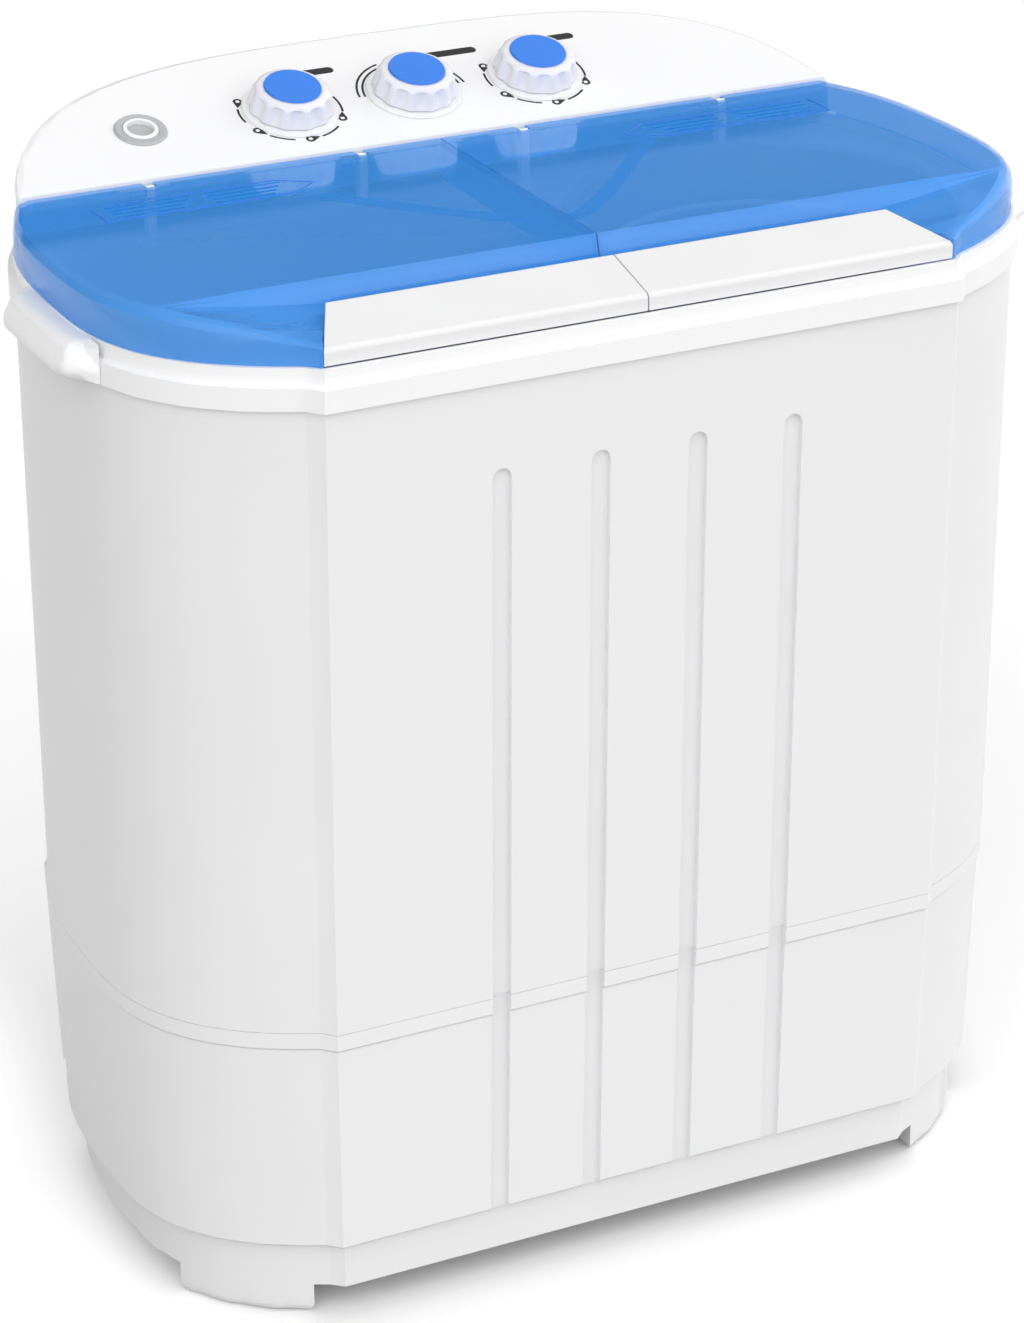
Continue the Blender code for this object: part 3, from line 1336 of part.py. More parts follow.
def make_small_parts(grey, black):
    """Capacitor on the floor, overflow cover in the wash tub, and the mains gland in the rear cover."""
    floor = FLOOR_TOP + GAP
    top = floor + CAPACITOR_HEIGHT
    soft = CAPACITOR_R / 10
    can = [
        (0, floor),
        (CAPACITOR_R - soft, floor),
        (CAPACITOR_R, floor + soft),
        (CAPACITOR_R, top - soft),
        (CAPACITOR_R - soft, top),
        (0, top),
    ]
    turned("capacitor", can, CAPACITOR_AT, 14, grey)
    half = OVERFLOW_WIDTH / 2
    depth = OVERFLOW_DEPTH
    shape = [(-half, 0), (-half, -depth * 0.5), (-half * 0.6, -depth)]
    shape += [(-x, y) for x, y in reversed(shape)]
    rings = []
    for z in (WASH_FLOOR + OVERFLOW_LIFT, OVERFLOW_TOP):
        rings.append([(OVERFLOW_X + x, overflow_back(z) + y, z) for x, y in shape])
    mesh_object("overflow_cover", loft(rings), grey)
    seat = GLAND_SEAT
    gland = [
        (0, -GLAND_DEPTH),
        (GLAND_R, -GLAND_DEPTH),
        (GLAND_R, seat),
        (GLAND_FLANGE_R, seat),
        (GLAND_FLANGE_R - seat, seat + GLAND_BRIM),
        (0, seat + GLAND_BRIM),
    ]
    piece = mesh_object("mains_gland", revolve(gland, 16), black)
    piece.location = (GLAND_X, gland_y(), GLAND_Z)
    piece.rotation_euler = (-math.pi / 2, 0, 0)


def overflow_back(z):
    """Inner face of the wash tub's back wall at a height, less a fitting gap."""
    share = (z - WASH_FLOOR) / (DECK_TOP + GAP + TUB_FLANGE_THICK - WASH_FLOOR)
    return WASH_Y + WASH_BOTTOM_HALF[1] + share * (WASH_TOP_HALF[1] - WASH_BOTTOM_HALF[1]) - GAP


def gland_y():
    """Outer face of the rear cover's middle, where the gland sits."""
    share = (GLAND_Z - SKIRT_BOTTOM) / (SEAM_HEIGHT - SKIRT_BOTTOM)
    inset = SKIRT_INSET[2] + share * (SEAM_INSET[2] - SKIRT_INSET[2])
    return OUTLINE_CENTRE_Y + BACK_REACH - inset + COVER_PROUD


def build():
    clear_scene()
    white = finish("white_polypropylene", "F2F2F2", 0.32)
    blue = finish("blue_abs", "3A8AED", 0.3)
    clear_blue = finish("clear_blue_styrene", "3A82E1", 0.12, alpha=0.6)
    grey = finish("grey_abs", "A9ACAF", 0.45)
    steel = finish("zinc_plated_steel", "B9BCBE", 0.35, 1.0)
    black = finish("black_rubber", "1D1E20", 0.7)
    dark = finish("dark_phenolic", "3A3B3E", 0.5)
    bronze = finish("sintered_bronze", "9A7B4F", 0.45, 1.0)
    make_cabinet(white)
    make_base(white)
    make_top_frame(white)
    make_control_panel(white)
    for name, side in (("wash_lid", -1), ("spin_lid", 1)):
        lid = make_lid(name, side, clear_blue)
        grip = make_grip(name + "_grip", side, white)
        for piece in (lid, grip):
            place_origin(piece, (0, HINGE_Y, HINGE_Z))
    make_hinge_pins(steel)
    make_wash_tub(white)
    make_spin_tub(white)
    make_basket(white)
    make_spin_drive(steel, black, dark)
    make_brake_lever(steel, dark)
    make_pulsator(white, steel)
    make_wash_drive(steel, black, bronze, dark)
    for stem, x in zip(("wash_timer", "drain_selector", "spin_timer"), KNOB_X):
        make_knob(stem, x, white, blue, steel, dark)
    make_inlet(grey, white)
    make_drain(grey, black, steel)
    make_rear_cover(white)
    make_small_parts(grey, black)


build()
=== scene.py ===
"""Looks of the twin tub washer: finishes, printed dials, fine lid details, studio and camera."""

import json
import math

import bmesh
import bpy
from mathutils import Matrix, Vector
from mathutils.bvhtree import BVHTree


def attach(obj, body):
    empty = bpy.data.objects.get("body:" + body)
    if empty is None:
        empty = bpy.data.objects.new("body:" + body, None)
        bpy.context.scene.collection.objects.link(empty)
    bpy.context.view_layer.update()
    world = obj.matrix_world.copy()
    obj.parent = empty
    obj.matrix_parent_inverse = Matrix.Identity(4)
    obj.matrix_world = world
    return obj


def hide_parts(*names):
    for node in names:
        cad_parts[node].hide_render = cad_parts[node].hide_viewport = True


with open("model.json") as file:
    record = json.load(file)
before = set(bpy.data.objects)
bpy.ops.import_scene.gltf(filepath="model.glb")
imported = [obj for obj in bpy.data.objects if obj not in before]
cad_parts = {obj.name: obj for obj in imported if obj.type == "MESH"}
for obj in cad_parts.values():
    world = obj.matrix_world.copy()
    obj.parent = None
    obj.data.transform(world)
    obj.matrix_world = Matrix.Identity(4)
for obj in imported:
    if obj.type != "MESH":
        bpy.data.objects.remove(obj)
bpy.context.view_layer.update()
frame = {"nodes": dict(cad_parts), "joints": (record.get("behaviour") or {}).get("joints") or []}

MM = 0.001

# Camera, solved from the photograph's own perspective
CAMERA_TARGET = Vector((0.0125, -0.0375, 0.3254))
CAMERA_AZIMUTH = math.radians(26.48)
CAMERA_ELEVATION = math.radians(24.63)
CAMERA_DISTANCE = 2.5476
CAMERA_LENS = 117.48
CAMERA_SHIFT = (-0.0274, -0.0063)

# Control face, read from the frame's own joints
JOINTS = {joint["name"]: joint for joint in frame["joints"]}
CONTROLS = ("wash_timer", "drain_selector", "spin_timer")
FACE_NORMAL = -Vector(JOINTS["wash_timer_turn"]["axis"])
FACE_RIGHT = Vector((1, 0, 0))
FACE_UP = FACE_NORMAL.cross(FACE_RIGHT)

# Printing on the control face, round each knob, with angles in degrees from the right
INK_THICK = 0.06 * MM
INK_LINE = 1.4 * MM
DIAL_R = 31.0 * MM
DROP_R = 2.9 * MM
DROP_TAIL = 6.8 * MM
DROP_TAIL_IN = 0.4 * DROP_R
DROP_HEAD_FROM = 60
DROP_HEAD_TURN = 240
DROP_HEAD_STEPS = 16
DROP_ANGLES = (150, 210, 270, 330)
DOT_R = 0.45 * DROP_R
DOT_END = 350
DOT_STEPS = 12
DASHES = ((165, 191), (225, 253), (285, 313), (343, 373))
SELECTOR_R = (30.5 * MM, 34.0 * MM)
SELECTOR_ARCS = ((107, 176), (4, 73))
PILL_UP = 34.0 * MM
PILL_HALF_HEIGHT = 3.1 * MM
PILLS = {
    "wash_timer": (22 * MM, 20 * MM),
    "drain_selector": (28 * MM, 28 * MM),
    "spin_timer": (22 * MM, 20 * MM),
}

# Knob profile: height over the control face, radius and depth of the hollows, all in mm; then how many
# hollows it has, and the steps that each is drawn with
KNOB_PROFILE = (
    (2.1, 24.6, 0.4),
    (2.5, 25.4, 1.2),
    (4.0, 25.2, 2.0),
    (8.0, 24.3, 2.5),
    (11.6, 23.5, 2.7),
    (12.5, 23.2, 2.5),
    (13.1, 22.9, 1.5),
    (13.6, 22.4, 0.6),
    (14.2, 21.7, 0.1),
    (15.0, 20.6, 0.0),
    (15.4, 19.4, 0.0),
    (15.5, 18.2, 0.0),
)
KNOB_HOLLOWS = 12
KNOB_STEPS = 10

# Plan outline of the body: a superellipse from its front corner round to the middle of the back
OUTLINE_HALF = 283.0 * MM
OUTLINE_FRONT = 162.0 * MM
OUTLINE_BACK = 226.0 * MM
OUTLINE_MIDDLE_Y = -41.0 * MM
OUTLINE_POWER = 2.7
OUTLINE_FACETS = 14
OUTLINE_START = -0.905
OUTLINE_STEP = (math.pi / 2 - OUTLINE_START) / OUTLINE_FACETS

# Finer copies: the longest facet and the least swell of a shell that stay uncut, and the cuts in an edge
FINE_FACET = 9.0 * MM
FINE_CUTS = 3
SWELL_LEAST = 1.0001

# Carry handles: where they start beyond the outline, and how their edges are rounded
HANDLE_ROOT = 5.0 * MM
HANDLE_EDGE = math.radians(22)
HANDLE_SOFT = 3.0 * MM
HANDLE_SOFT_STEPS = 3

# Lids: the least gap between two rows of the rim, and the shares of the half width where the rim is
# looked for, where the push to the true curve starts, and over how much more it grows to full
LID_ROW_GAP = 4.0 * MM
LID_RIM_SHARE = 0.97
LID_PUSH_FROM = 0.85
LID_PUSH_OVER = 0.1

# Lid ribs: a V with a round foot across both lids, under the skin, and a line round each lid's vents
RIB_LOW_Y = -82.0 * MM
RIB_ROUND = 30.0 * MM
RIB_SLOPE = 1.25
RIB_FROM_X = 5.0 * MM
RIB_TO_X = 112.0 * MM
RIB_STEPS = 24
RIB_HALF = 4.5 * MM
RIB_UNDER = (-0.2 * MM, 1.3 * MM)
VENT_LINE = ((229, 49.5), (229, 22.5), (117, 22.5), (99, 36), (117, 49.5), (229, 49.5))
VENT_STEPS = 12
VENT_HALF = 0.5 * MM
VENT_PROUD = (0.25 * MM, -0.2 * MM)

# Heights from which rays are cast up at a lid's underside and down on its skin, and the depth of those
# that are cast on the rear cover
RAY_BELOW = 500.0 * MM
RAY_ABOVE = 700.0 * MM
RAY_BEHIND = 1000.0 * MM

# Spin basket: how many flats its CAD wall has, and its holes, in rows from near its floor up to its rim
BASKET_AXIS = (150.0 * MM, -45.0 * MM)
BASKET_FLATS = 22
BASKET_TRUE = 0.05 * MM
HOLE_ROWS = 9
HOLES_ROUND = 24
HOLE_R = 2.4 * MM
HOLE_CORNERS = 10
HOLE_ENDS = (300.0 * MM, 515.0 * MM)
HOLE_HEIGHTS = (-0.2 * MM, 0.15 * MM)

# Screws of the rear cover: where they stand on it, and the pan head's radius and height at each step
SCREW_SPOTS = ((-205, 70), (-205, 176), (-100, 176), (100, 176), (205, 176), (205, 70))
SCREW_HEAD = ((3.6, -0.3), (3.6, 0.5), (3.1, 1.1), (2.0, 1.5), (0.8, 1.6))
SCREW_CORNERS = 24
SCREW_CROSS = (2.2 * MM, 0.4 * MM)
CROSS_HEIGHTS = (1.0 * MM, 1.66 * MM)

# Shading: which corners and faces count as one, which edges stay sharp and how the rest is rounded
WELD = 0.005 * MM
SAME_FLAT = math.radians(0.5)
SHARP = math.radians(20)
PIECE_SHARP = math.radians(40)
EDGE_SOFT = 0.7 * MM
EDGE_SOFT_STEPS = 2
ROUNDED = math.cos(math.radians(26))
HANDLE_ROUNDED = math.cos(math.radians(62))
ON_CURVE = math.cos(math.radians(14))

# How far before the front corner, in facets, a point still counts as on the curve
CURVE_SLACK = 0.1

# Moulded grain: how deep each noise goes, and how strongly the grain shows in relief
DRIFT_DETAIL = 2.0
GRAIN_DETAIL = 3.0
GRAIN_STRENGTH = 0.35

# Studio floor, in metres: it lies just under the feet, so that the two never share a plane, and at the
# left it glows for the camera alone, more and more between two places: painted light, so hardly a shadow
# shows
FLOOR_SIZE = 200.0
FLOOR_DROP = 0.0003
FLOOR_PAINTED_GLOW_SPAN = (-0.2, -0.3)
FLOOR_PAINTED_GLOW = 0.26

# Studio light: how bright the sky is all round and overhead, the height at which the overhead part starts,
# the heights between which the sky pales to the floor's white, and the two soft sources, each with the way
# it faces, its brightness and how near to that way it starts and is full
SKY_LOW = 0.08
SKY_TOP = 0.76
SKY_TOP_FROM = 0.21
HAZE_FROM = 0.11
HAZE_FULL = 0.07
SKY_LOBES = (
    ((-0.498, -0.867, 0.0), 1.5, 0.33, 0.65),
    ((0.985, -0.17, 0.0), 1.71, 0.25, 1.0),
)


def linear(colour):
    """sRGB hex digits as the linear colour that a shader takes."""
    channels = [int(colour[i : i + 2], 16) / 255 for i in (0, 2, 4)]
    return (*[c / 12.92 if c <= 0.04045 else ((c + 0.055) / 1.055) ** 2.4 for c in channels], 1.0)


def node(tree, kind, inputs=None, **settings):
    """Adds a node. An input is a value, or another node with the name of its output."""
    made = tree.nodes.new(kind if "Node" in kind else "ShaderNode" + kind)
    for name, value in settings.items():
        setattr(made, name, value)
    for name, value in (inputs or {}).items():
        if isinstance(value, tuple) and isinstance(value[0], bpy.types.Node):
            tree.links.new(value[0].outputs[value[1]], made.inputs[name])
        else:
            made.inputs[name].default_value = value
    return made


def material(name, **sockets):
    """A named finish with the given values on its shader; returns it with its tree and shader."""
    made = bpy.data.materials.new(name)
    made.use_nodes = True
    shader = made.node_tree.nodes["Principled BSDF"]
    for socket, value in sockets.items():
        shader.inputs[socket.replace("_", " ")].default_value = value
    return made, made.node_tree, shader


def mottle(tree, shader, pale, deep, patch, grain, rough, relief):
    """Slow drift between two tints, with a fine moulded grain in roughness and relief; sizes in mm.

    The real grain is about a tenth as wide, and is drawn coarser so that it shows.
    """
    place = (node(tree, "TexCoord"), "Object")
    coarse = {"Vector": place, "Scale": 1 / (patch * MM), "Detail": DRIFT_DETAIL}
    drift = node(tree, "TexNoise", coarse)
    tint = node(tree, "MixRGB", {"Fac": (drift, "Fac"), "Color1": linear(pale), "Color2": linear(deep)})
    tree.links.new(tint.outputs["Color"], shader.inputs["Base Color"])
    fine = {"Vector": place, "Scale": 1 / (grain * MM), "Detail": GRAIN_DETAIL}
    pits = node(tree, "TexNoise", fine)
    gloss = node(tree, "MapRange", {"Value": (pits, "Fac"), "To Min": rough[0], "To Max": rough[1]})
    tree.links.new(gloss.outputs["Result"], shader.inputs["Roughness"])
    raised = {"Height": (pits, "Fac"), "Strength": GRAIN_STRENGTH, "Distance": relief * MM}
    bump = node(tree, "Bump", raised)
    tree.links.new(bump.outputs["Normal"], shader.inputs["Normal"])


def satin_polypropylene():
    """White polypropylene from an etched mould: a satin skin with faint flow tints."""
    made, tree, shader = material("satin_white_polypropylene", IOR=1.49)
    mottle(tree, shader, "EBEBEC", "E7E7E8", patch=70, grain=1.4, rough=(0.30, 0.40), relief=0.02)
    return made


def gloss_abs():
    """White ABS from a polished mould: brighter and glossier than the cabinet."""
    made, tree, shader = material("gloss_white_abs", IOR=1.54)
    mottle(tree, shader, "ECECED", "E9E9EA", patch=90, grain=1.8, rough=(0.20, 0.28), relief=0.01)
    return made


def polished_rim_polypropylene():
    """The rim moulding, from a polished tool: whiter and a little shinier than the cabinet below it."""
    made, tree, shader = material("polished_white_polypropylene", IOR=1.49)
    mottle(tree, shader, "F4F4F5", "F1F1F2", patch=60, grain=1.2, rough=(0.26, 0.34), relief=0.01)
    return made


def textured_grip_abs():
    """The lids' grips, from an etched tool: a fine dull texture that reads greyer than the panel."""
    made, tree, shader = material("etched_white_abs", IOR=1.54)
    mottle(tree, shader, "E4E4E5", "E0E0E1", patch=45, grain=0.9, rough=(0.42, 0.52), relief=0.03)
    return made


def tub_polypropylene():
    """Bluish white polypropylene of the tubs, dulled by water and detergent."""
    made, tree, shader = material("tub_white_polypropylene", IOR=1.49)
    mottle(tree, shader, "E6E9EB", "DEE2E5", patch=45, grain=1.2, rough=(0.34, 0.50), relief=0.03)
    return made


def frosted_knob_abs():
    """Milky ABS of the knobs: light enters a little way, so the hollows look soft and cool."""
    depth = {"Subsurface_Weight": 0.15, "Subsurface_Scale": 4 * MM}
    made, tree, shader = material("milky_white_abs", IOR=1.54, **depth)
    mottle(tree, shader, "E4E3E9", "DDDCE3", patch=30, grain=1.0, rough=(0.22, 0.30), relief=0.01)
    return made


def clear_blue_styrene():
    """Tinted clear polystyrene of the lids, moulded glossy: deep blue, and what lies under it shows."""
    made, tree, shader = material(
        "clear_blue_styrene",
        Base_Color=linear("40A8FF"),
        IOR=1.57,
        Alpha=0.52,
    )
    place = node(tree, "TexCoord")
    wave = node(tree, "TexNoise", {"Vector": (place, "Object"), "Scale": 1 / (40 * MM), "Detail": 1.0})
    gloss = node(tree, "MapRange", {"Value": (wave, "Fac"), "To Min": 0.03, "To Max": 0.08})
    tree.links.new(gloss.outputs["Result"], shader.inputs["Roughness"])
    return made


def blue_abs():
    """Solid blue ABS of the knob caps, spark-eroded to a fine matt."""
    made, tree, shader = material("matt_blue_abs", IOR=1.54)
    mottle(tree, shader, "2A7CE2", "2778DD", patch=20, grain=0.9, rough=(0.34, 0.44), relief=0.02)
    return made


def grey_abs():
    """Mid grey ABS of the port's ring and the valve."""
    made, tree, shader = material("grey_abs", IOR=1.54)
    mottle(tree, shader, "B3B4B6", "A6A7AA", patch=25, grain=0.9, rough=(0.30, 0.42), relief=0.02)
    return made


def dark_phenolic():
    """Near-black phenolic moulding of switches and pulleys, slightly speckled by its filler; the same near
    black is the painted shade in the basket's holes and the screws' cross recesses.
    """
    made, tree, shader = material("dark_phenolic", IOR=1.6)
    mottle(tree, shader, "3A3B3E", "2C2D30", patch=6, grain=0.7, rough=(0.42, 0.56), relief=0.03)
    return made


def black_rubber():
    """Moulded rubber: dull, with a little bloom."""
    made, tree, shader = material("black_rubber", IOR=1.52)
    mottle(tree, shader, "232426", "1A1B1C", patch=12, grain=0.8, rough=(0.62, 0.80), relief=0.04)
    return made


def zinc_plate():
    """Bright zinc on steel, cloudy with fine spangle."""
    made, tree, shader = material("zinc_plated_steel", Metallic=1.0)
    mottle(tree, shader, "C6C9CB", "B2B6B9", patch=5, grain=0.8, rough=(0.24, 0.40), relief=0.01)
    return made


def motor_steel():
    """Stoved grey enamel on the motors' pressed shells."""
    made, tree, shader = material("grey_stoved_enamel", IOR=1.5)
    mottle(tree, shader, "8E9194", "85888B", patch=18, grain=1.1, rough=(0.30, 0.44), relief=0.03)
    return made


def sintered_bronze():
    """Porous bronze of the bearing, speckled by its pores."""
    made, tree, shader = material("sintered_bronze", Metallic=1.0)
    mottle(tree, shader, "A98A5C", "8C6E44", patch=1.5, grain=0.5, rough=(0.40, 0.60), relief=0.03)
    return made


def panel_ink():
    """Screen-printed black ink: flat, a touch duller than the plastic it lies on."""
    made, tree, shader = material("black_screen_ink", IOR=1.5)
    mottle(tree, shader, "101112", "161718", patch=3, grain=0.6, rough=(0.45, 0.55), relief=0.005)
    return made


FINISHES = {
    "satin": satin_polypropylene(),
    "gloss": gloss_abs(),
    "rim": polished_rim_polypropylene(),
    "grip": textured_grip_abs(),
    "tub": tub_polypropylene(),
    "knob": frosted_knob_abs(),
    "clear": clear_blue_styrene(),
    "blue": blue_abs(),
    "grey": grey_abs(),
    "dark": dark_phenolic(),
    "rubber": black_rubber(),
    "zinc": zinc_plate(),
    "motor": motor_steel(),
    "bronze": sintered_bronze(),
    "ink": panel_ink(),
}

# Which finish each CAD node takes; a name's ending decides, and the first ending that fits wins
NODE_FINISH = (
    ("satin", ("cabinet", "base", "rear_cover")),
    ("rim", ("top_frame",)),
    ("grip", ("_grip",)),
    ("gloss", ("control_panel", "_base_ring", "inlet_tube")),
    ("knob", ("_knob",)),
    ("clear", ("_lid",)),
    ("blue", ("_cap",)),
    ("tub", ("_tub", "spin_basket", "pulsator", "overflow_cover")),
    ("grey", ("inlet_ring", "inlet_filter", "drain_valve_body", "capacitor")),
    ("dark", ("_switch", "wash_pulley", "brake_post", "brake_drum", "motor_pulley")),
    ("rubber", ("_belt", "_seal", "_gland", "_plug", "spin_mount_1", "spin_mount_2", "spin_mount_3")),
    ("motor", ("_motor",)),
    ("bronze", ("_bearing",)),
    ("zinc", ("",)),
)


def smoothing():
    """Modifier tree that joins a CAD mesh's loose faces and keeps only its real edges sharp."""
    tree = bpy.data.node_groups.new("smooth_between_edges", "GeometryNodeTree")
    for way in ("INPUT", "OUTPUT"):
        tree.interface.new_socket("Geometry", in_out=way, socket_type="NodeSocketGeometry")
    start = node(tree, "NodeGroupInput")
    old = {"Geometry": (start, "Geometry"), "Name": "custom_normal"}
    bare = node(tree, "GeometryNodeRemoveAttribute", old)
    whole = node(tree, "GeometryNodeMergeByDistance", {"Geometry": (bare, "Geometry"), "Distance": WELD})
    bend = node(tree, "GeometryNodeInputMeshEdgeAngle")
    pair = {0: (bend, "Unsigned Angle"), 1: SHARP}
    sharp = node(tree, "FunctionNodeCompare", pair, operation="GREATER_THAN")
    picked = {"Geometry": (whole, "Geometry"), "Selection": (sharp, "Result"), "Shade Smooth": False}
    done = node(tree, "GeometryNodeSetShadeSmooth", picked, domain="EDGE")
    node(tree, "NodeGroupOutput", {"Geometry": (done, "Geometry")})
    return tree


def dress_nodes():
    """Gives every CAD node its finish and smooth shading between its real edges."""
    tree = smoothing()
    for name, piece in frame["nodes"].items():
        piece.data.materials.clear()
        piece.data.materials.append(FINISHES[finish_of(name)])
        piece.data.shade_smooth()
        piece.modifiers.new("smooth", "NODES").node_group = tree
        piece.modifiers.new("even", "WEIGHTED_NORMAL").keep_sharp = True


def finish_of(name):
    """The finish of a CAD node: the first ending that fits its name wins."""
    return next(finish for finish, endings in NODE_FINISH if name.endswith(endings))


def welded(name):
    """A copy of a CAD node's mesh with its loose faces joined, where the node stands."""
    piece = frame["nodes"][name]
    bm = bmesh.new()
    bm.from_mesh(piece.data)
    bm.transform(piece.matrix_world)
    bmesh.ops.remove_doubles(bm, verts=bm.verts, dist=WELD)
    return bm


def on_outline(angle):
    """A point of the body's plan outline, from its middle, at an angle of the superellipse's formula."""
    reach = OUTLINE_BACK if angle > 0 else OUTLINE_FRONT
    across = OUTLINE_HALF * max(0.0, math.cos(angle)) ** (2 / OUTLINE_POWER)
    return Vector((across, math.copysign(reach * abs(math.sin(angle)) ** (2 / OUTLINE_POWER), angle)))


def along_outline(x, y):
    """The formula's angle at a plan point, and how many facets past the front corner that is."""
    reach = OUTLINE_BACK if y > OUTLINE_MIDDLE_Y else OUTLINE_FRONT
    power = OUTLINE_POWER / 2
    angle = math.atan2(abs((y - OUTLINE_MIDDLE_Y) / reach) ** power, abs(x / OUTLINE_HALF) ** power)
    angle = math.copysign(angle, y - OUTLINE_MIDDLE_Y)
    return angle, (angle - OUTLINE_START) / OUTLINE_STEP


def outward(x, y):
    """The direction straight out of the true curve at a plan point."""
    reach = OUTLINE_BACK if y > OUTLINE_MIDDLE_Y else OUTLINE_FRONT
    lean = abs(x / OUTLINE_HALF) ** (OUTLINE_POWER - 1) / OUTLINE_HALF
    rise = abs((y - OUTLINE_MIDDLE_Y) / reach) ** (OUTLINE_POWER - 1) / reach
    return Vector((math.copysign(lean, x), math.copysign(rise, y - OUTLINE_MIDDLE_Y))).normalized()


def swell(x, y):
    """How much farther out the true curve lies than the straight facets, on a plan point's own bearing."""
    angle, share = along_outline(x, y)
    if share <= 0:
        return 1.0
    first = on_outline(OUTLINE_START + math.floor(share) * OUTLINE_STEP)
    last = on_outline(OUTLINE_START + math.ceil(share) * OUTLINE_STEP)
    chord = last - first
    if chord.length < WELD:
        return 1.0
    true = on_outline(angle)
    facet = first.cross(last) / true.cross(chord)
    return max(1.0, 1 / facet)


def on_handle(spot):
    """Whether a point lies on a carry handle, the only form that stands out past the body's outline."""
    return abs(spot.x) > OUTLINE_HALF + HANDLE_ROOT


def round_off(name, body):
    """A finer copy of a CAD shell: its curved sides are cut small and pushed out to the true curve."""
    bm = welded(name)
    soften_handles(bm)
    long = []
    for edge in bm.edges:
        a, b = (v.co for v in edge.verts)
        middle = (a + b) / 2
        wide = (a - b).to_2d().length > FINE_FACET
        if wide and not on_handle(middle) and swell(middle.x, middle.y) > SWELL_LEAST:
            long.append(edge)
    bmesh.ops.subdivide_edges(bm, edges=long, cuts=FINE_CUTS, use_grid_fill=True)
    for vert in bm.verts:
        more = 1.0 if on_handle(vert.co) else swell(vert.co.x, vert.co.y)
        vert.co.x *= more
        vert.co.y = OUTLINE_MIDDLE_Y + (vert.co.y - OUTLINE_MIDDLE_Y) * more
    piece = mesh_piece(name + "_fine", bm, finish_of(name), body)
    shade_shell(piece.data)
    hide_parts(name)


def soften_handles(bm):
    """Rounds the edges of the carry handles."""
    edges = []
    for edge in bm.edges:
        out = all(on_handle(v.co) for v in edge.verts)
        if out and edge.is_manifold and edge.calc_face_angle() > HANDLE_EDGE:
            edges.append(edge)
    if edges:
        bmesh.ops.bevel(
            bm,
            geom=edges,
            offset=HANDLE_SOFT,
            segments=HANDLE_SOFT_STEPS,
            profile=0.5,
            affect="EDGES",
            clamp_overlap=True,
        )


def lid_half_width(y):
    """Half of the lids' width at a depth, on the true curve."""
    reach = OUTLINE_BACK if y > OUTLINE_MIDDLE_Y else OUTLINE_FRONT
    share = min(1.0, abs((y - OUTLINE_MIDDLE_Y) / reach))
    return OUTLINE_HALF * (1 - share**OUTLINE_POWER) ** (1 / OUTLINE_POWER)


def round_lid(name):
    """A finer copy of a lid: the straight runs of its rim are cut small and set out to the true curve."""
    bm = welded(name)
    rim = [v.co.y for v in bm.verts if abs(v.co.x) > LID_RIM_SHARE * lid_half_width(v.co.y)]
    rows = []
    for y in sorted(rim):
        if not rows or y - rows[-1] > LID_ROW_GAP:
            rows.append(y)
    long = [edge for edge in bm.edges if abs(edge.verts[0].co.y - edge.verts[1].co.y) > LID_ROW_GAP]
    bmesh.ops.subdivide_edges(bm, edges=long, cuts=FINE_CUTS, use_grid_fill=True)
    for vert in bm.verts:
        y = vert.co.y
        ends = [pair for pair in zip(rows, rows[1:]) if pair[0] < y < pair[1]]
        if ends:
            first, last = ends[0]
            share = (y - first) / (last - first)
            chord = lid_half_width(first) * (1 - share) + lid_half_width(last) * share
            outer = (abs(vert.co.x) / chord - LID_PUSH_FROM) / LID_PUSH_OVER
            outer = min(max(outer, 0.0), 1.0)
            vert.co.x *= 1 + outer * max(0.0, lid_half_width(y) / chord - 1)
    piece = mesh_piece(name + "_fine", bm, "clear", name)
    soften_edges(piece)
    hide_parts(name)


def soften_grip(lid):
    """A copy of a lid's grip with the small rounds of its moulding."""
    piece = mesh_piece(lid + "_grip_fine", welded(lid + "_grip"), "grip", lid)
    soften_edges(piece)
    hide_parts(lid + "_grip")


def soften_edges(piece):
    """A small round on every real edge, which catches the light as a moulded edge does."""
    piece.data.set_sharp_from_angle(angle=SHARP)
    soft = piece.modifiers.new("soft", "BEVEL")
    soft.width = EDGE_SOFT
    soft.segments = EDGE_SOFT_STEPS
    soft.limit_method = "ANGLE"
    soft.angle_limit = SHARP
    piece.modifiers.new("even", "WEIGHTED_NORMAL").keep_sharp = True


def shade_shell(mesh):
    """Shades the curved sides by the true curve and every flat by its own face."""
    around = [[] for _ in mesh.vertices]
    for face in mesh.polygons:
        for vert in face.vertices:
            around[vert].append(face)
    normals = []
    for face in mesh.polygons:
        for vert in face.vertices:
            spot = mesh.vertices[vert].co
            bound = HANDLE_ROUNDED if on_handle(spot) else ROUNDED
            near = [other for other in around[vert] if other.normal.dot(face.normal) > bound]
            soft = sum((other.normal * other.area for other in near), Vector()).normalized()
            side = outward(spot.x, spot.y) * math.sqrt(max(0.0, 1 - soft.z**2))
            side = math.copysign(1, side.dot(soft.to_2d())) * side
            true = Vector((side.x, side.y, soft.z))
            past_corner = along_outline(spot.x, spot.y)[1] > -CURVE_SLACK
            curved = past_corner and true.dot(face.normal) > ON_CURVE
            normals.append(true if curved else soft)
    mesh.normals_split_custom_set(normals)


def mesh_piece(name, bm, finish, body):
    """Links a finished mesh to its body."""
    bmesh.ops.recalc_face_normals(bm, faces=bm.faces)
    mesh = bpy.data.meshes.new(name)
    bm.to_mesh(mesh)
    bm.free()
    mesh.shade_smooth()
    mesh.set_sharp_from_angle(angle=PIECE_SHARP)
    mesh.materials.append(FINISHES[finish])
    piece = bpy.data.objects.new(name, mesh)
    bpy.context.scene.collection.objects.link(piece)
    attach(piece, body)
    return piece


def on_face(control, u, v, lift=0.0):
    """A point on the control face, across and up the slope from a control's middle."""
    middle = Vector(JOINTS[control + "_turn"]["pos_m"])
    return middle + FACE_RIGHT * u + FACE_UP * v + FACE_NORMAL * lift


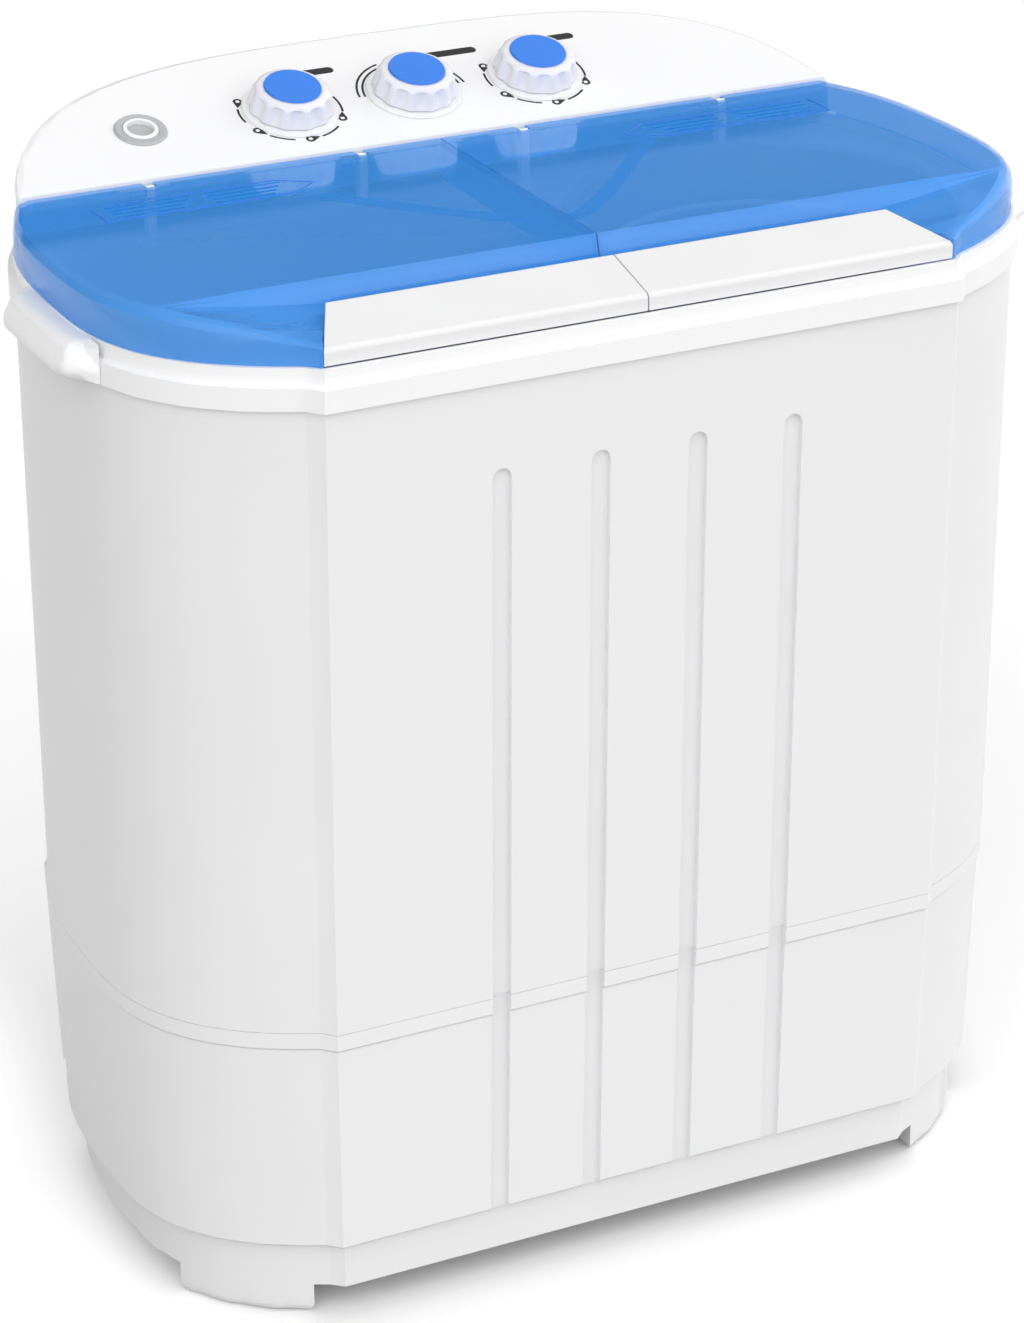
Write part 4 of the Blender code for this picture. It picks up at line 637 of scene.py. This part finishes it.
def print_shape(bm, control, points, thick=INK_THICK):
    """A flat printed shape, as thin as ink, from its outline on the control face."""
    low = [bm.verts.new(on_face(control, u, v, 0.0)) for u, v in points]
    high = [bm.verts.new(on_face(control, u, v, thick)) for u, v in points]
    bm.faces.new(low[::-1])
    bm.faces.new(high)
    for i in range(len(points)):
        j = (i + 1) % len(points)
        bm.faces.new((low[i], low[j], high[j], high[i]))


def arc(radius, start, end, steps=14):
    """Points along a part circle, in degrees."""
    angles = [math.radians(start + (end - start) * i / steps) for i in range(steps + 1)]
    return [(radius * math.cos(a), radius * math.sin(a)) for a in angles]


def ring(radius, corners):
    """Corners of a whole circle."""
    return arc(radius, 0, 360 * (corners - 1) / corners, corners - 1)


def band(radius, width, start, end):
    """Outline of a curved line of even width."""
    return arc(radius + width / 2, start, end) + arc(radius - width / 2, end, start)


def drop(angle):
    """A drop-shaped mark on the dial's circle, its tail running on along the circle."""
    a = math.radians(angle)
    out = Vector((math.cos(a), math.sin(a)))
    along = Vector((-out.y, out.x))
    middle = out * DIAL_R
    head = arc(DROP_R, DROP_HEAD_FROM, DROP_HEAD_FROM + DROP_HEAD_TURN, DROP_HEAD_STEPS)
    points = [middle + along * u + out * v for u, v in head]
    points.append(middle + along * DROP_TAIL - out * DROP_TAIL_IN)
    return [tuple(point) for point in points]


def pill(across, half):
    """Plain label bar with round ends."""
    end = half - PILL_HALF_HEIGHT
    right = [(across + end + u, PILL_UP + v) for u, v in arc(PILL_HALF_HEIGHT, -90, 90)]
    left = [(across - end + u, PILL_UP + v) for u, v in arc(PILL_HALF_HEIGHT, 90, 270)]
    return right + left


def print_dial(control):
    """Ink round a knob: drops and dashes for a timer, a pair of arcs on either side for the selector."""
    bm = bmesh.new()
    if control == "drain_selector":
        for radius in SELECTOR_R:
            for start, end in SELECTOR_ARCS:
                print_shape(bm, control, band(radius, INK_LINE, start, end))
    else:
        for angle in DROP_ANGLES:
            print_shape(bm, control, drop(angle))
        for start, end in DASHES:
            print_shape(bm, control, band(DIAL_R, INK_LINE, start, end))
    print_shape(bm, control, pill(*PILLS[control]))
    mesh_piece(control + "_print", bm, "ink", "cabinet")


def print_dots(control):
    """A white dot in the head of each drop."""
    bm = bmesh.new()
    dot = arc(DOT_R, 0, DOT_END, DOT_STEPS)
    for angle in DROP_ANGLES:
        u, v = arc(DIAL_R, angle, angle, 1)[0]
        print_shape(bm, control, [(u + x, v + y) for x, y in dot], 2 * INK_THICK)
    mesh_piece(control + "_dots", bm, "gloss", "cabinet")


def make_knob(control):
    """The knob with its twelve soft hollows, in place of the plainer CAD one."""
    bm = bmesh.new()
    count = KNOB_HOLLOWS * KNOB_STEPS
    rings = []
    for height, radius, hollow in KNOB_PROFILE:
        ring = []
        for i in range(count):
            angle = 2 * math.pi * i / count
            wave = 0.5 - 0.5 * math.cos(KNOB_HOLLOWS * angle)
            r = (radius - hollow * wave * wave * (3 - 2 * wave)) * MM
            spot = on_face(control, r * math.cos(angle), r * math.sin(angle), height * MM)
            ring.append(bm.verts.new(spot))
        rings.append(ring)
    for low, high in zip(rings, rings[1:]):
        for i in range(count):
            j = (i + 1) % count
            bm.faces.new((low[i], low[j], high[j], high[i]))
    bm.faces.new(rings[0][::-1])
    bm.faces.new(rings[-1])
    knob = mesh_piece(control + "_fine_knob", bm, "knob", control)
    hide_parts(control + "_knob")


def skin_of(piece):
    """A piece's faces, ready for rays to be cast on."""
    points = [piece.matrix_world @ v.co for v in piece.data.vertices]
    return BVHTree.FromPolygons(points, [tuple(p.vertices) for p in piece.data.polygons])


def drape(name, lid, path, half, heights, finish, below):
    """A flat strip along a path, laid on the lid's skin from above, or on its underside from below."""
    skin = skin_of(frame["nodes"][lid])
    bm = bmesh.new()
    rows = []
    for i, spot in enumerate(path):
        along = (path[min(i + 1, len(path) - 1)] - path[max(i - 1, 0)]).normalized()
        across = Vector((-along.y, along.x)) * half
        row = []
        for plan in (spot - across, spot + across):
            start = Vector((plan.x, plan.y, RAY_BELOW if below else RAY_ABOVE))
            hit = skin.ray_cast(start, Vector((0, 0, 1 if below else -1)))[0]
            level = [hit.z - h if below else hit.z + h for h in heights]
            row += [bm.verts.new((plan.x, plan.y, z)) for z in level]
        rows.append((row[0], row[2], row[3], row[1]))
    for low, high in zip(rows, rows[1:]):
        for i in range(4):
            bm.faces.new((low[i], low[i - 1], high[i - 1], high[i]))
    bm.faces.new(rows[0])
    bm.faces.new(rows[-1][::-1])
    mesh_piece(name, bm, finish, lid)


def make_lid_lines(lid, side):
    """The rib that stiffens a lid from below, and the raised line round its vents."""
    rib = []
    for i in range(RIB_STEPS + 1):
        x = RIB_FROM_X + (RIB_TO_X - RIB_FROM_X) * i / RIB_STEPS
        rib.append(Vector((side * x, RIB_LOW_Y - RIB_ROUND + math.hypot(RIB_ROUND, RIB_SLOPE * x))))
    drape(lid + "_rib", lid, rib, RIB_HALF, RIB_UNDER, "clear", True)
    corners = [Vector((side * x, y)) * MM for x, y in VENT_LINE]
    line = []
    for first, last in zip(corners, corners[1:]):
        line += [first.lerp(last, i / VENT_STEPS) for i in range(VENT_STEPS)]
    drape(lid + "_vent_line", lid, line, VENT_HALF, VENT_PROUD, "blue", False)


def round_basket():
    """A finer copy of the spin basket: each flat of its wall is cut small and set out to a true round."""
    bm = welded("spin_basket")
    bmesh.ops.dissolve_limit(bm, angle_limit=SAME_FLAT, verts=bm.verts, edges=bm.edges)
    axis = Vector(BASKET_AXIS)
    level = []
    for edge in bm.edges:
        a, b = (v.co for v in edge.verts)
        same_reach = abs((a.to_2d() - axis).length - (b.to_2d() - axis).length) < BASKET_TRUE
        if same_reach and abs(a.z - b.z) < BASKET_TRUE:
            level.append(edge)
    bmesh.ops.subdivide_edges(bm, edges=level, cuts=FINE_CUTS, use_grid_fill=True)
    flat = 2 * math.pi / BASKET_FLATS
    for vert in bm.verts:
        out = vert.co.to_2d() - axis
        off = math.atan2(out.y, out.x) % flat - flat / 2
        vert.co.xy = axis + out * math.cos(off) / math.cos(flat / 2)
    piece = mesh_piece("spin_basket_fine", bm, "tub", "spin_rotor")
    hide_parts("spin_basket")
    return piece


def make_basket_holes(basket):
    """The rows of drain holes in the spin basket's wall, each drawn as a dark round of painted shade just
    proud of its inner face.
    """
    bm = bmesh.new()
    skin = skin_of(basket)
    for row in range(HOLE_ROWS):
        z = HOLE_ENDS[0] + (HOLE_ENDS[1] - HOLE_ENDS[0]) * row / (HOLE_ROWS - 1)
        for i in range(HOLES_ROUND):
            angle = 2 * math.pi * (i + 0.5 * (row % 2)) / HOLES_ROUND
            start = Vector((*BASKET_AXIS, z))
            hit, normal, _, _ = skin.ray_cast(start, Vector((math.cos(angle), math.sin(angle), 0)))
            # Each hole is a dark round, painted shade, laid just proud of the wall
            lie_on(bm, hit, normal, [ring(HOLE_R, HOLE_CORNERS)] * 2, HOLE_HEIGHTS)
    mesh_piece("basket_hole_shade", bm, "dark", "spin_rotor")


def lie_on(bm, spot, normal, outlines, heights):
    """A closed form on a surface, from outlines at rising heights over it."""
    across = Vector((0, 0, 1)).cross(normal).normalized()
    up = normal.cross(across)
    rings = []
    for outline, height in zip(outlines, heights):
        middle = spot + normal * height
        rings.append([bm.verts.new(middle + across * u + up * v) for u, v in outline])
    for low, high in zip(rings, rings[1:]):
        for i in range(len(low)):
            bm.faces.new((low[i - 1], low[i], high[i], high[i - 1]))
    bm.faces.new(rings[-1])
    bm.faces.new(rings[0][::-1])


def make_screws():
    """Pan-head screws that hold the rear cover, with their cross recess drawn as a dark cross of painted
    shade.
    """
    heads = bmesh.new()
    crosses = bmesh.new()
    skin = skin_of(frame["nodes"]["rear_cover"])
    long, wide = SCREW_CROSS
    for x, z in SCREW_SPOTS:
        hit, normal, _, _ = skin.ray_cast(Vector((x * MM, RAY_BEHIND, z * MM)), Vector((0, -1, 0)))
        outlines = [ring(radius * MM, SCREW_CORNERS) for radius, _ in SCREW_HEAD]
        lie_on(heads, hit, normal, outlines, [height * MM for _, height in SCREW_HEAD])
        # The cross recess is a dark cross of painted shade, standing just proud of the head
        for u, v in ((long, wide), (wide, long)):
            lie_on(crosses, hit, normal, [[(-u, -v), (u, -v), (u, v), (-u, v)]] * 2, CROSS_HEIGHTS)
    mesh_piece("rear_screws", heads, "zinc", "cabinet")
    mesh_piece("rear_screw_recess_shade", crosses, "dark", "cabinet")


def make_floor():
    """Wide paper, white to the eye and in the gloss, that throws back only a grey light on the body."""
    bpy.ops.mesh.primitive_plane_add(size=FLOOR_SIZE, location=(0, 0, -FLOOR_DROP))
    floor = bpy.context.object
    floor.name = "studio_floor"
    made, tree, shader = material("studio_white_paper", Roughness=0.9)
    path = node(tree, "LightPath")
    direct = {0: (path, "Is Camera Ray"), 1: (path, "Is Glossy Ray")}
    seen = node(tree, "Math", direct, operation="MAXIMUM")
    through = {0: (seen, "Value"), 1: (path, "Is Transmission Ray")}
    seen = node(tree, "Math", through, operation="MAXIMUM")
    shade = {0: (seen, "Value"), 6: linear("A1A1A1"), 7: linear("FDFDFD")}
    paper = node(tree, "Mix", shade, data_type="RGBA")
    tree.links.new(paper.outputs[2], shader.inputs["Base Color"])
    # Painted light: at the left the floor glows for the camera alone, so that the body's shadow there fades
    spot = node(tree, "SeparateXYZ", {"Vector": (node(tree, "TexCoord"), "Object")})
    start, full = FLOOR_PAINTED_GLOW_SPAN
    reach = {"Value": (spot, "X"), "From Min": start, "From Max": full, "To Max": FLOOR_PAINTED_GLOW}
    side = node(tree, "MapRange", reach, interpolation_type="SMOOTHSTEP")
    glow = {0: (side, "Result"), 1: (path, "Is Camera Ray")}
    lift = node(tree, "Math", glow, operation="MULTIPLY")
    tree.links.new(lift.outputs["Value"], shader.inputs["Emission Strength"])
    floor.data.materials.append(made)


def make_sky():
    """Soft sky, bright overhead, with one wide source at the front left and one at the right."""
    scene = bpy.context.scene
    scene.view_settings.view_transform = "Standard"
    scene.world = bpy.data.worlds.new("studio")
    scene.world.use_nodes = True
    tree = scene.world.node_tree
    way = (node(tree, "TexCoord"), "Generated")
    height = (node(tree, "SeparateXYZ", {"Vector": way}), "Z")
    rise = {"Value": height, "From Min": SKY_TOP_FROM, "To Min": SKY_LOW, "To Max": SKY_LOW + SKY_TOP}
    above = node(tree, "MapRange", rise, interpolation_type="SMOOTHSTEP")
    total = (above, "Result")
    for towards, bright, start, full in SKY_LOBES:
        facing = node(tree, "VectorMath", {0: way, 1: towards}, operation="DOT_PRODUCT")
        spread = {"Value": (facing, "Value"), "From Min": start, "From Max": full, "To Max": bright}
        lobe = node(tree, "MapRange", spread, interpolation_type="SMOOTHSTEP")
        total = (node(tree, "Math", {0: total, 1: (lobe, "Result")}, operation="ADD"), "Value")
    haze = node(tree, "MapRange", {"Value": height, "From Min": HAZE_FROM, "From Max": HAZE_FULL})
    level = node(tree, "Math", {0: total, 1: (haze, "Result")}, operation="MAXIMUM")
    sky = tree.nodes["Background"]
    tree.links.new(level.outputs["Value"], sky.inputs["Strength"])
    sky.inputs["Color"].default_value = (1, 1, 1, 1)


def make_camera():
    """Long lens at the photograph's angle."""
    flat = math.cos(CAMERA_ELEVATION)
    back = Vector((-math.sin(CAMERA_AZIMUTH), -math.cos(CAMERA_AZIMUTH), 0)) * flat
    back.z = math.sin(CAMERA_ELEVATION)
    data = bpy.data.cameras.new("camera")
    data.lens = CAMERA_LENS
    data.shift_x, data.shift_y = CAMERA_SHIFT
    camera = bpy.data.objects.new("camera", data)
    camera.location = CAMERA_TARGET + back * CAMERA_DISTANCE
    camera.rotation_euler = (-back).to_track_quat("-Z", "Y").to_euler()
    bpy.context.scene.collection.objects.link(camera)
    bpy.context.scene.camera = camera


make_camera()
make_floor()
make_sky()
dress_nodes()
for name in ("cabinet", "base", "top_frame", "rear_cover"):
    round_off(name, "cabinet")
for name, side in (("wash_lid", -1), ("spin_lid", 1)):
    round_lid(name)
    soften_grip(name)
    make_lid_lines(name, side)
make_basket_holes(round_basket())
make_screws()
for name in CONTROLS:
    print_dial(name)
    make_knob(name)
for name in ("wash_timer", "spin_timer"):
    print_dots(name)
